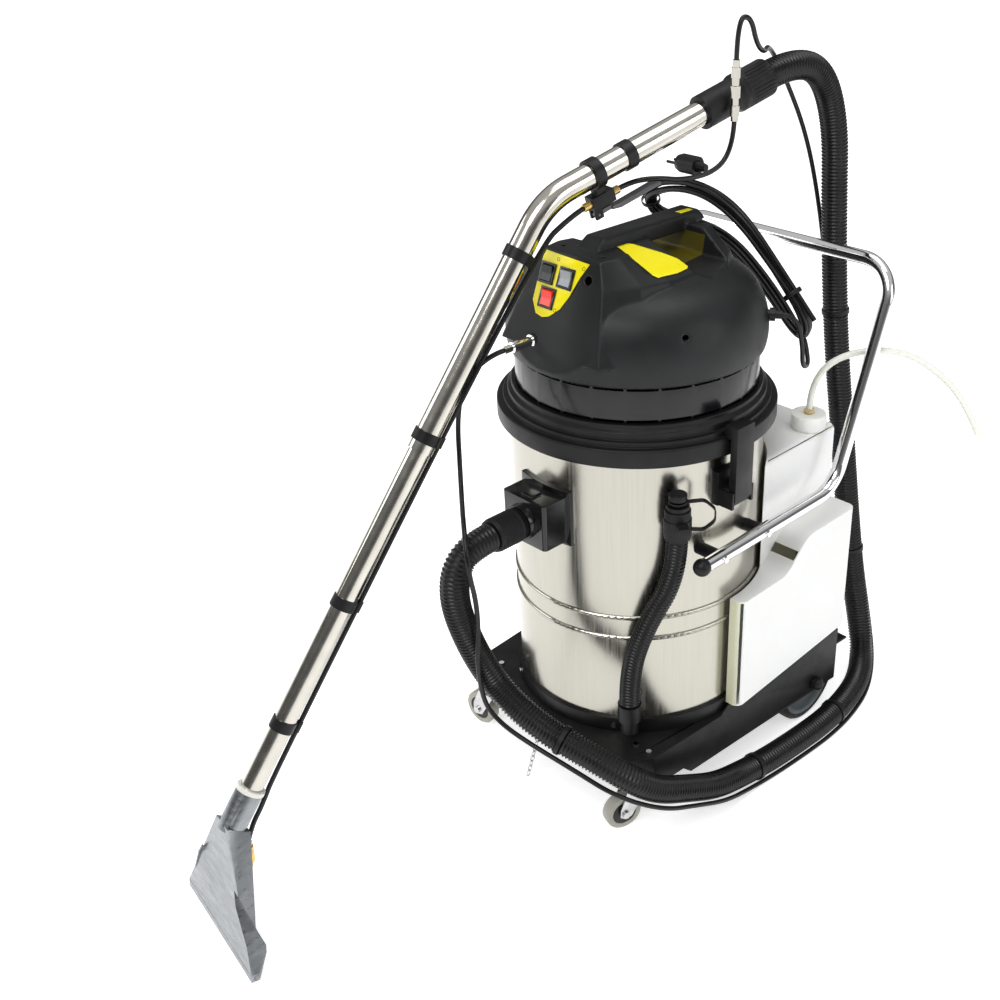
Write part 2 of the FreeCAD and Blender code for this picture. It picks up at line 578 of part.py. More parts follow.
put("dome_cover", dome)
yq = y_at(QZ)
q = fuse(cyl(6.9, V(QX, yq + 6, QZ), V(QX, yq - 2, QZ)), cyl(10, V(QX, yq, QZ), V(QX, yq - 3, QZ)), cyl(7.5, V(QX, yq - 3, QZ), V(QX, yq - 24, QZ)),
         cyl(8.8, V(QX, yq - 24, QZ), V(QX, yq - 42, QZ)), cyl(6, V(QX, yq - 42, QZ), V(QX, yq - 60, QZ)))
q = q.cut(dome)
put("solution_socket", clean(max(q.Solids, key=lambda w: w.Volume)))
g = fuse(cyl(7.9, V(GD).multiply(205).add(V(0, 0, GZ)), V(GD).multiply(219.5).add(V(0, 0, GZ))),
         cyl(11, V(GD).multiply(218.6).add(V(0, 0, GZ)), V(GD).multiply(228).add(V(0, 0, GZ))),
         cyl(7, V(GD).multiply(228).add(V(0, 0, GZ)), V(GD).multiply(240).add(V(0, 0, GZ))))
g = g.cut(dome)
g = max(g.Solids, key=lambda q: q.Volume)
put("cord_gland", g)

# inside the head
mot = []
for x in (-80, 80):
    m = fuse(cyl(66, V(x, 10, 712), V(x, 10, 760)), cyl(44, V(x, 10, 760), V(x, 10, 838)), cyl(30, V(x, 10, 838), V(x, 10, 856)))
    m = m.cut(cyl(24, V(x, 10, 712), V(x, 10, 730)))
    mot.append(clean(m))
put("vacuum_motors", *mot)
pump = fuse(box(-32, -150, 712, 32, -92, 752), cyl(20, V(-30, -121, 772), V(40, -121, 772)), box(-32, -141, 750, 20, -101, 775))
put("solution_pump", clean(pump))

# float shut-off below the flange
cage = cyl(52, V(0, 10, 590), V(0, 10, 704)).cut(cyl(49, V(0, 10, 593), V(0, 10, 704)))
for i in range(6):
    b = box(40, -14, 604, 60, 14, 690)
    b.rotate(V(0, 0, 0), V(0, 0, 1), 60 * i)
    b.translate(V(0, 10, 0))
    cage = cage.cut(b)
cage = cage.cut(cyl(12, V(0, 10, 588), V(0, 10, 596)))
cage = clean(cage)
put("float_cage", cage)
put("float_ball", Part.makeSphere(32, V(0, 10, 625.6)))

# =====================================================================
# solution tank: saddle round the drum's rear
def tank(d):
    hw, y0, y1 = TANK_HW - d, TANK_Y0 + d, 325 - d

    def low(y):
        return tank_line(y) + d
    a = box(-TANK_IN + d, y0, 152 + d, TANK_IN - d, y1, 390 - d)
    # side lobes: straight flat top at the front, then an S curve up to the rear shoulder
    sc = [V(-hw, 92 + 108 * t - d, 390 - d + 56 * (t - math.sin(2 * math.pi * t) / (2 * math.pi))) for t in [i / 12.0 for i in range(13)]]
    c = Part.BSplineCurve()
    c.interpolate(sc)
    pl = [V(-hw, y0, 390 - d), V(-hw, y0, low(y0)), V(-hw, y1, low(y1)), V(-hw, y1, 446 - d)]
    w = Part.Wire([Part.LineSegment(sc[0], pl[0]).toShape(), Part.LineSegment(pl[0], pl[1]).toShape(), Part.LineSegment(pl[1], pl[2]).toShape(),
                   Part.LineSegment(pl[2], pl[3]).toShape(), Part.LineSegment(pl[3], sc[-1]).toShape(), Part.Wire([c.toShape()]).Edges[0]])
    lobes = Part.Face(w).extrude(V(2 * hw, 0, 0))
    lobes = lobes.cut(box(-TANK_IN - d, y0 - 5, 100, TANK_IN + d, 400, 200))
    u = box(-200 + d, 90, 380, 200 - d, y1, 600 - d)
    s = fuse(a, lobes, u)
    if not d:
        s = smooth(clean(s), 16, lambda e: e.BoundBox.ZLength > 90 and e.BoundBox.XLength < 0.1 and e.BoundBox.YLength < 0.1 and (e.BoundBox.YMin > 300 or abs(abs(e.BoundBox.XMin) - hw) < 1))
        s = smooth(s, 12, lambda e: e.BoundBox.ZMin > 599 and e.BoundBox.ZLength < 0.1 and e.BoundBox.YMin > 80)
    s = s.cut(Part.makeCylinder(DRUM_R + 7 + d, 700, V(0, 0, 100)))
    s = clean(s)
    return max(s.Solids, key=lambda q: q.Volume)


t_out = tank(0.0)
t_in = tank(TANK_T)
tk = t_out.cut(t_in)
neck = pipe(26, 23, V(CAP_X, CAP_Y, 596), V(CAP_X, CAP_Y, 612))
tk = tk.cut(cyl(23, V(CAP_X, CAP_Y, 590), V(CAP_X, CAP_Y, 612))).fuse(neck)
put("solution_tank", clean(tk))
cap = cyl(32, V(CAP_X, CAP_Y, 600.4), V(CAP_X, CAP_Y, 627)).cut(cyl(26.3, V(CAP_X, CAP_Y, 600), V(CAP_X, CAP_Y, 618)))
cap = smooth(cap, 2.5, lambda e: e.BoundBox.ZLength < 0.01 and abs(e.BoundBox.ZMax - 627) < 0.01)
cap = cap.cut(cyl(8 + RUN, V(CAP_X, CAP_Y, 610), V(CAP_X, CAP_Y, 628)))
put("tank_cap", cap)
barb = fuse(cyl(25, V(CAP_X, CAP_Y, 612), V(CAP_X, CAP_Y, 615)), cyl(8, V(CAP_X, CAP_Y, 612), V(CAP_X, CAP_Y, 634)), cyl(6, V(CAP_X, CAP_Y, 172), V(CAP_X, CAP_Y, 613)),
            cyl(9.5, V(CAP_X, CAP_Y, 628), V(CAP_X, CAP_Y, 634)), cyl(4.4, V(CAP_X, CAP_Y, 634), V(CAP_X, CAP_Y, 652)))
put("supply_barb", clean(barb))
ST = [(CAP_X, CAP_Y, 634), (CAP_X, CAP_Y, 692), (203, 320, 740), (274, 392, 744), (330, 438, 702), (372, 472, 642), (395, 490, 582)]
st = tube("supply_tube", ST, SUPPLY_R, 4.5)
put("supply_tube", st)

# =====================================================================
# vacuum hose
NECK = wp(86, 247)
BEND = wp(676, 1071.4)
low_d = BEND.sub(NECK)
low_d.normalize()
END = wp(1117, 1200.2)
up_d = END.sub(BEND)
up_d.normalize()


def UP(s):
    return BEND.add(V(up_d).multiply(s))


UL = END.sub(BEND).Length
C0, C1, C2 = UL - 143, UL - 66, UL
wc = fuse(cyl(27.5, UP(C0), UP(C1)), cone(27.5, 31, UP(C1 - 8), UP(C1)), cyl(31, UP(C1), UP(C2)))
wc = wc.cut(cyl(UP_R + RUN, UP(C0 - 1), UP(C1 + 1))).cut(cyl(18.2, UP(C1), UP(C2 + 1)))
put("wand_cuff", clean(wc))

HOSE = [(PORT_X, -340, PORT_Z), (PORT_X, -383, PORT_Z), (-7, -415, 536), (-10, -420, 480), (-6, -407, 415), (6, -387, 346), (33, -365, 284), (109, -352, 246),
        (180, -327, 220), (244, -294, 184), (263, -239, 130), (272, -168, 93), (280, -99, 59), (276, -21, 33), (284, 55, 26.6), (291, 135, 26.4),
        (295, 213, 26.6), (289, 291, 26.4), (269, 374, 26.8), (233, 438, 45), (204, 454, 123), (184, 453, 203), (162, 450, 330), (134, 449, 500),
        (102, 450, 680), (84, 449, 830), (74, 446, 960), (68, 440, 1100), (65, 392, 1196), tuple(UP(UL + 61.5)), tuple(END)]
hose = tube("vacuum_hose", HOSE, HOSE_R, 20.0)
put("vacuum_hose", hose)

SOL = [(QX, yq - 60, QZ), (QX - 4, yq - 90, QZ - 2), (-84, -310, 800), (-98, -316, 735), (-80, -332, 668), (-42, -364, 614), (8, -403, 597), (31, -419, 549), (28, -406, 490),
       (24, -402, 432), (30, -414, 382), (28, -410, 325), (30, -402, 277), (58, -392, 248), (103, -376, 225), (176, -350, 196), (250, -320, 160), (288, -246, 106), (298, -171, 72), (306, -99, 39), (299, -20, 11),
       (305, 56, 4.8), (312, 136, 4.8), (316, 213, 4.8), (310, 293, 4.8), (289, 383, 5.2), (248, 460, 27), (208, 485, 118), (186, 484, 205), (163, 481, 330),
       (134, 480, 500), (96, 480, 660), (56, 470, 800), (36, 450, 960), (22, 418, 1080), (14, 356, 1184), (30, 286, 1245), (62, 232, 1242),
       (77, 192, 1262), (76, 176, 1304), (73, 148, 1304), (73, 148, 1243)]
put("solution_hose", tube("solution_hose", SOL, THIN_R, 2.5))
sol_groove = tube("groove", SOL, THIN_R + 0.3)

CX, CY = 73.0, 148.0
cp = fuse(cyl(6, V(CX, CY, 1150), V(CX, CY, 1243)), cyl(7.5, V(CX, CY, 1158), V(CX, CY, 1174)), cyl(8.5, V(CX, CY, 1186), V(CX, CY, 1204)), cyl(7.5, V(CX, CY, 1216), V(CX, CY, 1232)))
put("hose_coupler", clean(cp))

# bands that hold the thin hose to the vacuum hose, on straight stretches
bands = []
for i in (7, 13, 16, 21, 24):
    a, b = V(*HOSE[i]), V(*HOSE[i + 1])
    d = b.sub(a)
    d.normalize()
    m = a.add(b).multiply(0.5)
    bands.append(pipe(26.0, HOSE_R, m.sub(V(d).multiply(4)), m.add(V(d).multiply(4))).cut(sol_groove))
put("hose_bands", *bands)

# =====================================================================
# wand
JOIN_S = (730.0 - 247.0) / (1071.4 - 247.0)
JP = NECK.add(BEND.sub(NECK).multiply(JOIN_S))


def LO(t):
    return JP.add(V(low_d).multiply(t))


lt = cyl(LOW_R, NECK, LO(60)).fuse(cyl(18.3, LO(46), LO(58)))
lt = lt.cut(cyl(16, NECK.sub(V(low_d).multiply(1)), LO(61)))
put("wand_lower_tube", clean(lt))
UPP = [(JP.x, JP.y, JP.z), (BEND.x, BEND.y, BEND.z), tuple(UP(C1 - 0.5))]
ut = tube("wand_upper_tube", UPP, UP_R, 18.3, 130)
put("wand_upper_tube", ut)

# spray line runs behind the lower tube
side_d = low_d.cross(WN)
side_d.normalize()
if side_d.y < 0:
    side_d = side_d.multiply(-1)
up_n = up_d.cross(WN)
up_n.normalize()
if up_n.z > 0:
    up_n = up_n.multiply(-1)          # below the upper tube


def clip(t, big, w=9):
    c = LO(t)
    r = UP_R if big else LOW_R
    s = cyl(r + 2.2, c.sub(V(low_d).multiply(w)), c.add(V(low_d).multiply(w)))
    l = c.add(V(side_d).multiply(LINE_OFF))
    s = s.fuse(cyl(THIN_R + 2, l.sub(V(low_d).multiply(w)), l.add(V(low_d).multiply(w))))
    s = s.cut(cyl(r, LO(t - w - 1), LO(t + w + 1)))
    s = s.cut(cyl(THIN_R, l.sub(V(low_d).multiply(w + 1)), l.add(V(low_d).multiply(w + 1))))
    return clean(s)


LINE_OFF = 27.0
clips = [clip(24, True), clip(-262, False), clip(-476, False), clip(330, True)]
c = UP(160)
st2 = pipe(UP_R + 2.5, UP_R, c.sub(V(up_d).multiply(9)), c.add(V(up_d).multiply(9)))
clips.append(st2)
put("wand_clips", *clips)

# trigger valve under the upper tube
VS = 95.0
vc = UP(VS)
ringc = pipe(UP_R + 4, UP_R, vc.sub(V(up_d).multiply(9)), vc.add(V(up_d).multiply(9)))


def vp(s, down, off=0.0):
    return UP(s).add(V(up_n).multiply(down)).add(V(WN).multiply(off))


def vbox(s0, s1, d0, d1, o0, o1):
    p = [vp(s0, d0, o0), vp(s1, d0, o0), vp(s1, d1, o0), vp(s0, d1, o0)]
    return Part.Face(Part.makePolygon(p + [p[0]])).extrude(V(WN).multiply(o1 - o0))


stem = vbox(VS - 8, VS + 8, UP_R + 2, 34, -8, 8)
block = vbox(VS - 20, VS + 22, 32, 52, -11, 11)
nose = vbox(VS - 20, VS - 6, 52, 68, -9, 9)
vb = fuse(ringc, stem, block, nose)
vb = vb.fuse(cyl(6.5, vp(VS + 20, 43), vp(VS + 36, 43))).fuse(cyl(6.5, vp(VS - 18, 43), vp(VS - 34, 43)))
vb = vb.cut(cyl(3 + RUN, vp(VS - 13, 62, -12), vp(VS - 13, 62, 12)))
slot = vbox(VS - 24, VS - 4, 53.5, 70, -4.3, 4.3)
vb = vb.cut(slot)
put("valve_body", clean(vb))
lev = fuse(cyl(3, vp(VS - 13, 62, -8.8), vp(VS - 13, 62, 8.8)), cyl(6.2, vp(VS - 13, 62, -4), vp(VS - 13, 62, 4)),
           vbox(VS - 13, VS + 16, 58.5, 65.5, -4, 4))
lp = [vp(VS + 14, 60.5, -7), vp(VS + 30, 62, -7), vp(VS + 112, 62, -7), vp(VS + 114, 71, -7), vp(VS + 30, 70, -7), vp(VS + 14, 66, -7)]
lev = lev.fuse(Part.Face(Part.makePolygon(lp + [lp[0]])).extrude(V(WN).multiply(14)))
put("trigger_lever", clean(lev))

# wand lines
LIN = [(CX, CY, 1150), (CX, CY - 2, 1112), (66, 120, 1076), (48, 60, 1068), (34, 6, 1080)]
a = vp(VS + 36, 43)
b = vp(VS + 62, 43)
LIN = LIN + [tuple(b), tuple(a)]
put("wand_line_in", tube("wand_line_in", LIN, THIN_R, 2.5))


def line_pt(t, off=27.0):
    p = LO(t).add(V(side_d).multiply(off))
    return (p.x, p.y, p.z)


# a long straight stretch behind the clips, then down to the spray jet
LOUT = [tuple(vp(VS - 34, 43)), tuple(vp(VS - 58, 44)), line_pt(352, 27), line_pt(-560, 27), tuple(wp(100, 208)), tuple(wp(78, 178)), tuple(wp(68, 150))]
lout = tube("wand_line_out", LOUT, THIN_R, 2.5, 60)
put("wand_line_out", lout)

# floor tool: cream collar ring, round neck, flat head that tapers to a thin slit across the floor
put("tool_collar", pipe(23, LOW_R, NECK.add(V(low_d).multiply(-1)), NECK.add(V(low_d).multiply(6))))
OFF = 2.5                     # the head sits a little to the right of the wand
A0 = NECK.sub(V(low_d).multiply(70))
neck_o = cyl(22, NECK.sub(V(low_d).multiply(1.2)), A0)


def sect(s, z, half, thick, dirn, off=OFF):
    # rectangle across the tool
    n = dirn.cross(WN)
    n.normalize()
    p = [wp(s, z, off - half).add(V(n).multiply(-thick / 2)), wp(s, z, off + half).add(V(n).multiply(-thick / 2)),
         wp(s, z, off + half).add(V(n).multiply(thick / 2)), wp(s, z, off - half).add(V(n).multiply(thick / 2))]
    return Part.makePolygon(p + [p[0]])


def half_at(z):
    return 128.5 - (128.5 - 21.5) * (z - 12) / 200.0


td = V(WD).multiply(0.30).add(V(0, 0, 0.954))
SA0 = A0.sub(WP).dot(WD)
up_sec = (SA0 + 6, A0.z + 8)
tool_o = Part.makeLoft([sect(up_sec[0], up_sec[1], 21.5, 42, low_d, 0.5), sect(1.5, 12, 128.5, 11, td)], True, True)
tool_i = Part.makeLoft([sect(up_sec[0], up_sec[1], 17, 34, low_d, 0.5), sect(1.5, 12, 125, 6, td)], True, True)
lip_o = prism([tuple(wp(-5.5, 0.3, OFF - 128.5)), tuple(wp(5, 0.3, OFF - 128.5)), tuple(wp(7.5, 13, OFF - 128.5)), tuple(wp(-4, 13, OFF - 128.5))], tuple(V(WN).multiply(257)))
slit = prism([tuple(wp(-3, -2, OFF - 125)), tuple(wp(2.5, -2, OFF - 125)), tuple(wp(5, 16, OFF - 125)), tuple(wp(-1.5, 16, OFF - 125))], tuple(V(WN).multiply(250)))
wings = []
for sg in (-1, 1):
    wing = [wp(14, 132, OFF + sg * half_at(132)), wp(29, 56, OFF + sg * half_at(56)), wp(32, 44, OFF + sg * half_at(44)), wp(29, 34, OFF + sg * half_at(34)),
            wp(7, 4, OFF + sg * half_at(4)), wp(0, 4, OFF + sg * half_at(4)), wp(8, 110, OFF + sg * half_at(110))]
    wings.append(Part.Face(Part.makePolygon(wing + [wing[0]])).extrude(V(WN).multiply(-3.0 * sg)))
tool = fuse(tool_o, neck_o, lip_o, *wings)
bore = cyl(17, NECK.add(V(low_d).multiply(2)), A0.add(V(low_d).multiply(4)))
tool = tool.cut(tool_i).cut(slit).cut(bore)
tool = clean(tool)
tool = max(tool.Solids, key=lambda q: q.Volume)
put("floor_tool", tool)
# spray jet on a bracket behind the head
jt = fuse(cyl(5.5, wp(68, 150), wp(67, 138)), cyl(7.5, wp(67, 141), wp(66, 112)), cone(6, 3, wp(66, 113), wp(64, 97)), cyl(5, wp(66, 124), wp(40, 124)))
jt = jt.cut(tool_o).cut(neck_o).cut(lout)
jt = max(jt.Solids, key=lambda q: q.Volume)
put("spray_jet", clean(jt))

# =====================================================================
# power cord: hank hung behind the head, strand to the gland, plug
HANK = [(-140, 180, 1000), (-30, 182, 1024), (62, 186, 990), (134, 195, 912), (204, 205, 832), (172, 232, 782), (92, 236, 858), (6, 230, 926), (-80, 216, 942), (-150, 206, 948)]


def mid(i, j):
    a, b = HANK[i], HANK[j]
    return tuple((p + q) / 2 for p, q in zip(a, b))


# the closed coil is two half sweeps that meet on straight runs
hank1 = tube("hank a", [mid(1, 2)] + HANK[2:6] + [mid(5, 6)], 16.0)
hank2 = tube("hank b", [mid(5, 6)] + HANK[6:] + HANK[:2] + [mid(1, 2)], 16.0)
hank = hank1.fuse(hank2)
G0 = V(GD).multiply(240).add(V(0, 0, GZ))
STR = [tuple(G0), (G0.x + 19, G0.y + 14, GZ - 2), (G0.x + 28, G0.y + 22, 806), (G0.x + 22, G0.y + 34, 762), (208, 204, 752), (190, 224, 768), (172, 231, 790)]
strand = tube("strand", STR, CORD_R)
cordn = fuse(hank, strand)
put("power_cord", clean(cordn))
PX, PY, PZ = -52.0, 184.0, 1054.0
plug = fuse(cyl(16, V(PX + 22, PY, PZ), V(PX - 12, PY, PZ)), cone(16, 13, V(PX - 12, PY, PZ), V(PX - 20, PY, PZ)), cone(10, 6, V(PX + 22, PY, PZ), V(PX + 40, PY, PZ)))
for dy in (-9.5, 9.5):
    plug = plug.fuse(cyl(2.4, V(PX - 18, PY + dy, PZ), V(PX - 39, PY + dy, PZ)))
put("power_plug", clean(plug))

# =====================================================================
def show(label, p):
    print(label, [round(p.x + SHIFT_X, 4), round(p.y + SHIFT_Y, 4), round(p.z, 4)])


show("wand axis point", UP(C0))
print("wand axis dir", [round(q, 6) for q in up_d])
show("trigger pivot", vp(VS - 13, 62))
print("trigger axis", [round(q, 6) for q in WN])
for label, pts in (("HOSE", HOSE), ("SOL", SOL), ("SUPPLY", ST), ("DRAIN", DRAIN_PTS), ("LIN", LIN), ("LOUT", LOUT), ("STRAND", STR), ("HANK", HANK)):
    print(label, [tuple(round(q, 2) for q in (p[0] + SHIFT_X, p[1] + SHIFT_Y, p[2])) for p in pts])
os.makedirs("parts", exist_ok=True)
for f in os.listdir("parts"):
    if f.endswith(".step"):
        os.remove(os.path.join("parts", f))
for n in sorted(nodes):
    s = nodes[n].copy()
    s.translate(V(SHIFT_X, SHIFT_Y, 0))
    bad = [i for i, q in enumerate(s.Solids) if not q.isValid() or q.Volume < 0]
    print("%-18s solids %d valid %s vol %.0f z %.1f..%.1f%s" % (n, len(s.Solids), s.isValid(), s.Volume, s.BoundBox.ZMin, s.BoundBox.ZMax, " BAD %s" % bad if bad else ""))
    s.exportStep("parts/%s.step" % n)
print(len(nodes), "nodes")
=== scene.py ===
import math
import bpy, bmesh
import numpy as np
from mathutils import Vector, Matrix, noise


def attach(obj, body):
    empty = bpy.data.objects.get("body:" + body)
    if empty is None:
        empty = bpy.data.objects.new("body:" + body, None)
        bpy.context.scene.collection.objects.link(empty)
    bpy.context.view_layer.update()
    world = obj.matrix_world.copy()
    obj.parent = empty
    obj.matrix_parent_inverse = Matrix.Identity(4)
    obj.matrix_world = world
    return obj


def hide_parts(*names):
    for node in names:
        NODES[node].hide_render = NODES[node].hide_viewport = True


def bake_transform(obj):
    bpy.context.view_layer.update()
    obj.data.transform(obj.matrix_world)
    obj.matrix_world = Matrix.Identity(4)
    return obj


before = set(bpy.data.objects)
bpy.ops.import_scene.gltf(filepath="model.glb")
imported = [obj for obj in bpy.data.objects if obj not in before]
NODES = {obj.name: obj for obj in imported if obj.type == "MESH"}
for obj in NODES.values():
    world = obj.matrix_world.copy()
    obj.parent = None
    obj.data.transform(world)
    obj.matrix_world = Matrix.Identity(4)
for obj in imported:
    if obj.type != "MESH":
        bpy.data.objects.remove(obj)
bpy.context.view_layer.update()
mm = 0.001


# =====================================================================
# camera, light, floor
# =====================================================================
cam_data = bpy.data.cameras.new("camera")
cam_data.sensor_width = 36.0
cam_data.lens = 45.377
cam_data.shift_x = -0.13751
cam_data.shift_y = 0.0
cam_data.clip_start = 0.05
cam = bpy.data.objects.new("camera", cam_data)
bpy.context.scene.collection.objects.link(cam)
cam.location = (1.344, -1.22205, 1.5915)
cam.rotation_euler = (math.radians(90 - 28.9416), 0.0, math.radians(42.678))
bpy.context.scene.camera = cam
bpy.context.scene.view_settings.view_transform = "Standard"
bpy.context.scene.view_settings.gamma = 0.86


def link(o):
    bpy.context.scene.collection.objects.link(o)
    return o


def area(name, loc, target, size, power, color=(1, 1, 1), size_y=None):
    d = bpy.data.lights.new(name, "AREA")
    d.energy = power
    d.color = color
    d.size = size
    if size_y:
        d.shape = "RECTANGLE"
        d.size_y = size_y
    o = link(bpy.data.objects.new(name, d))
    o.location = loc
    o.rotation_euler = (Vector(target) - Vector(loc)).to_track_quat("-Z", "Y").to_euler()
    return o


sun = bpy.data.lights.new("key", "SUN")
sun.energy = 1.0
sun.angle = math.radians(30)
so = link(bpy.data.objects.new("key", sun))
so.rotation_euler = (Vector((0.1, 0.2, 0.5)) - Vector((0.9, -2.2, 3.4))).to_track_quat("-Z", "Y").to_euler()
area("left", (-2.4, -1.6, 2.0), (0, 0.2, 0.6), 1.6, 20)
area("right", (3.0, 1.0, 1.8), (0, 0.2, 0.6), 1.5, 18)
area("top", (0.2, 0.6, 3.6), (0, 0.2, 0.4), 2.0, 26)

w = bpy.data.worlds.new("studio")
bpy.context.scene.world = w
w.use_nodes = True
nt = w.node_tree
nt.nodes.clear()
out = nt.nodes.new("ShaderNodeOutputWorld")
bg = nt.nodes.new("ShaderNodeBackground")
tc = nt.nodes.new("ShaderNodeTexCoord")
sep = nt.nodes.new("ShaderNodeSeparateXYZ")
rmp = nt.nodes.new("ShaderNodeValToRGB")
mp = nt.nodes.new("ShaderNodeMapRange")
mp.inputs["From Min"].default_value = -1.0
mp.inputs["From Max"].default_value = 1.0
nt.links.new(tc.outputs["Generated"], sep.inputs[0])
nt.links.new(sep.outputs["Z"], mp.inputs["Value"])
nt.links.new(mp.outputs[0], rmp.inputs[0])
e = rmp.color_ramp.elements
e[0].position = 0.0
e[0].color = (0.80, 0.80, 0.80, 1)
e[1].position = 1.0
e[1].color = (1, 1, 1, 1)
for p, c in ((0.50, 0.90), (0.545, 0.42), (0.60, 0.22), (0.70, 0.40), (0.80, 0.95)):
    q = e.new(p)
    q.color = (c, c, c, 1)
nt.links.new(rmp.outputs[0], bg.inputs[0])
bg.inputs[1].default_value = 0.62
nt.links.new(bg.outputs[0], out.inputs[0])


# =====================================================================
# materials, every one procedural
# =====================================================================
def mat(name, base, rough=0.4, metal=0.0, var=0.06, vscale=9.0, rvar=0.06, rscale=30.0, grain=0.0, gscale=900.0,
        stretch=(1, 1, 1), coat=0.0, sss=0.0, ior=None, spec=None, scratch=0.0, trans=0.0, dirt=0.0, emit=None, aniso=None):
    m = bpy.data.materials.new(name)
    m.use_nodes = True
    t = m.node_tree
    t.nodes.clear()
    N = t.nodes.new
    L = t.links.new
    o = N("ShaderNodeOutputMaterial")
    b = N("ShaderNodeBsdfPrincipled")
    L(b.outputs[0], o.inputs[0])
    c = N("ShaderNodeTexCoord")
    mpg = N("ShaderNodeMapping")
    mpg.inputs["Scale"].default_value = stretch
    L(c.outputs["Object"], mpg.inputs[0])
    n1 = N("ShaderNodeTexNoise")
    n1.inputs["Scale"].default_value = vscale
    n1.inputs["Detail"].default_value = 5
    L(mpg.outputs[0], n1.inputs["Vector"])
    r1 = N("ShaderNodeValToRGB")
    r1.color_ramp.elements[0].position = 0.32
    r1.color_ramp.elements[1].position = 0.68
    lo = [max(0.0, x * (1 - var)) for x in base]
    hi = [min(1.0, x * (1 + var) + 0.002) for x in base]
    r1.color_ramp.elements[0].color = (*lo, 1)
    r1.color_ramp.elements[1].color = (*hi, 1)
    L(n1.outputs[0], r1.inputs[0])
    col = r1.outputs[0]
    if dirt:
        n3 = N("ShaderNodeTexNoise")
        n3.inputs["Scale"].default_value = 26
        n3.inputs["Detail"].default_value = 9
        n3.inputs["Roughness"].default_value = 0.7
        L(c.outputs["Object"], n3.inputs["Vector"])
        r3 = N("ShaderNodeMapRange")
        r3.inputs["From Min"].default_value = 0.52
        r3.inputs["From Max"].default_value = 0.78
        r3.inputs["To Max"].default_value = dirt
        L(n3.outputs[0], r3.inputs["Value"])
        mx = N("ShaderNodeMixRGB")
        mx.blend_type = "MIX"
        mx.inputs[2].default_value = (0.36, 0.34, 0.31, 1)
        L(r3.outputs[0], mx.inputs[0])
        L(col, mx.inputs[1])
        col = mx.outputs[0]
    L(col, b.inputs["Base Color"])
    n2 = N("ShaderNodeTexNoise")
    n2.inputs["Scale"].default_value = rscale
    n2.inputs["Detail"].default_value = 6
    L(mpg.outputs[0], n2.inputs["Vector"])
    r2 = N("ShaderNodeMapRange")
    r2.inputs["From Min"].default_value = 0.3
    r2.inputs["From Max"].default_value = 0.7
    r2.inputs["To Min"].default_value = max(0.01, rough - rvar)
    r2.inputs["To Max"].default_value = min(1.0, rough + rvar)
    L(n2.outputs[0], r2.inputs["Value"])
    L(r2.outputs[0], b.inputs["Roughness"])
    b.inputs["Metallic"].default_value = metal
    prev = None
    if grain:
        g = N("ShaderNodeTexNoise")
        g.inputs["Scale"].default_value = gscale
        g.inputs["Detail"].default_value = 3
        L(mpg.outputs[0], g.inputs["Vector"])
        bp = N("ShaderNodeBump")
        bp.inputs["Strength"].default_value = min(1.0, grain)
        bp.inputs["Distance"].default_value = 0.0004
        L(g.outputs[0], bp.inputs["Height"])
        prev = bp
    if scratch:
        g2 = N("ShaderNodeTexVoronoi")
        g2.feature = "DISTANCE_TO_EDGE"
        g2.inputs["Scale"].default_value = 14
        ng = N("ShaderNodeTexNoise")
        ng.inputs["Scale"].default_value = 5
        ng.inputs["Detail"].default_value = 8
        ad = N("ShaderNodeVectorMath")
        ad.operation = "ADD"
        L(c.outputs["Object"], ng.inputs["Vector"])
        L(c.outputs["Object"], ad.inputs[0])
        L(ng.outputs["Color"], ad.inputs[1])
        L(ad.outputs[0], g2.inputs["Vector"])
        mr = N("ShaderNodeMapRange")
        mr.inputs["From Max"].default_value = 0.01
        L(g2.outputs["Distance"], mr.inputs["Value"])
        bp2 = N("ShaderNodeBump")
        bp2.inputs["Strength"].default_value = scratch
        bp2.inputs["Distance"].default_value = 0.0002
        L(mr.outputs[0], bp2.inputs["Height"])
        if prev:
            L(prev.outputs[0], bp2.inputs["Normal"])
        prev = bp2
    if prev:
        L(prev.outputs[0], b.inputs["Normal"])
    if coat:
        b.inputs["Coat Weight"].default_value = coat
        b.inputs["Coat Roughness"].default_value = 0.12
    if sss:
        b.inputs["Subsurface Weight"].default_value = sss
        b.inputs["Subsurface Radius"].default_value = (0.02, 0.018, 0.012)
        b.inputs["Subsurface Scale"].default_value = 0.6
    if ior:
        b.inputs["IOR"].default_value = ior
    if spec is not None:
        b.inputs["Specular IOR Level"].default_value = spec
    if trans:
        b.inputs["Transmission Weight"].default_value = trans
    if aniso is not None:
        b.inputs["Anisotropic"].default_value = aniso
    if emit:
        b.inputs["Emission Color"].default_value = (*emit[:3], 1)
        b.inputs["Emission Strength"].default_value = emit[3]
    return m


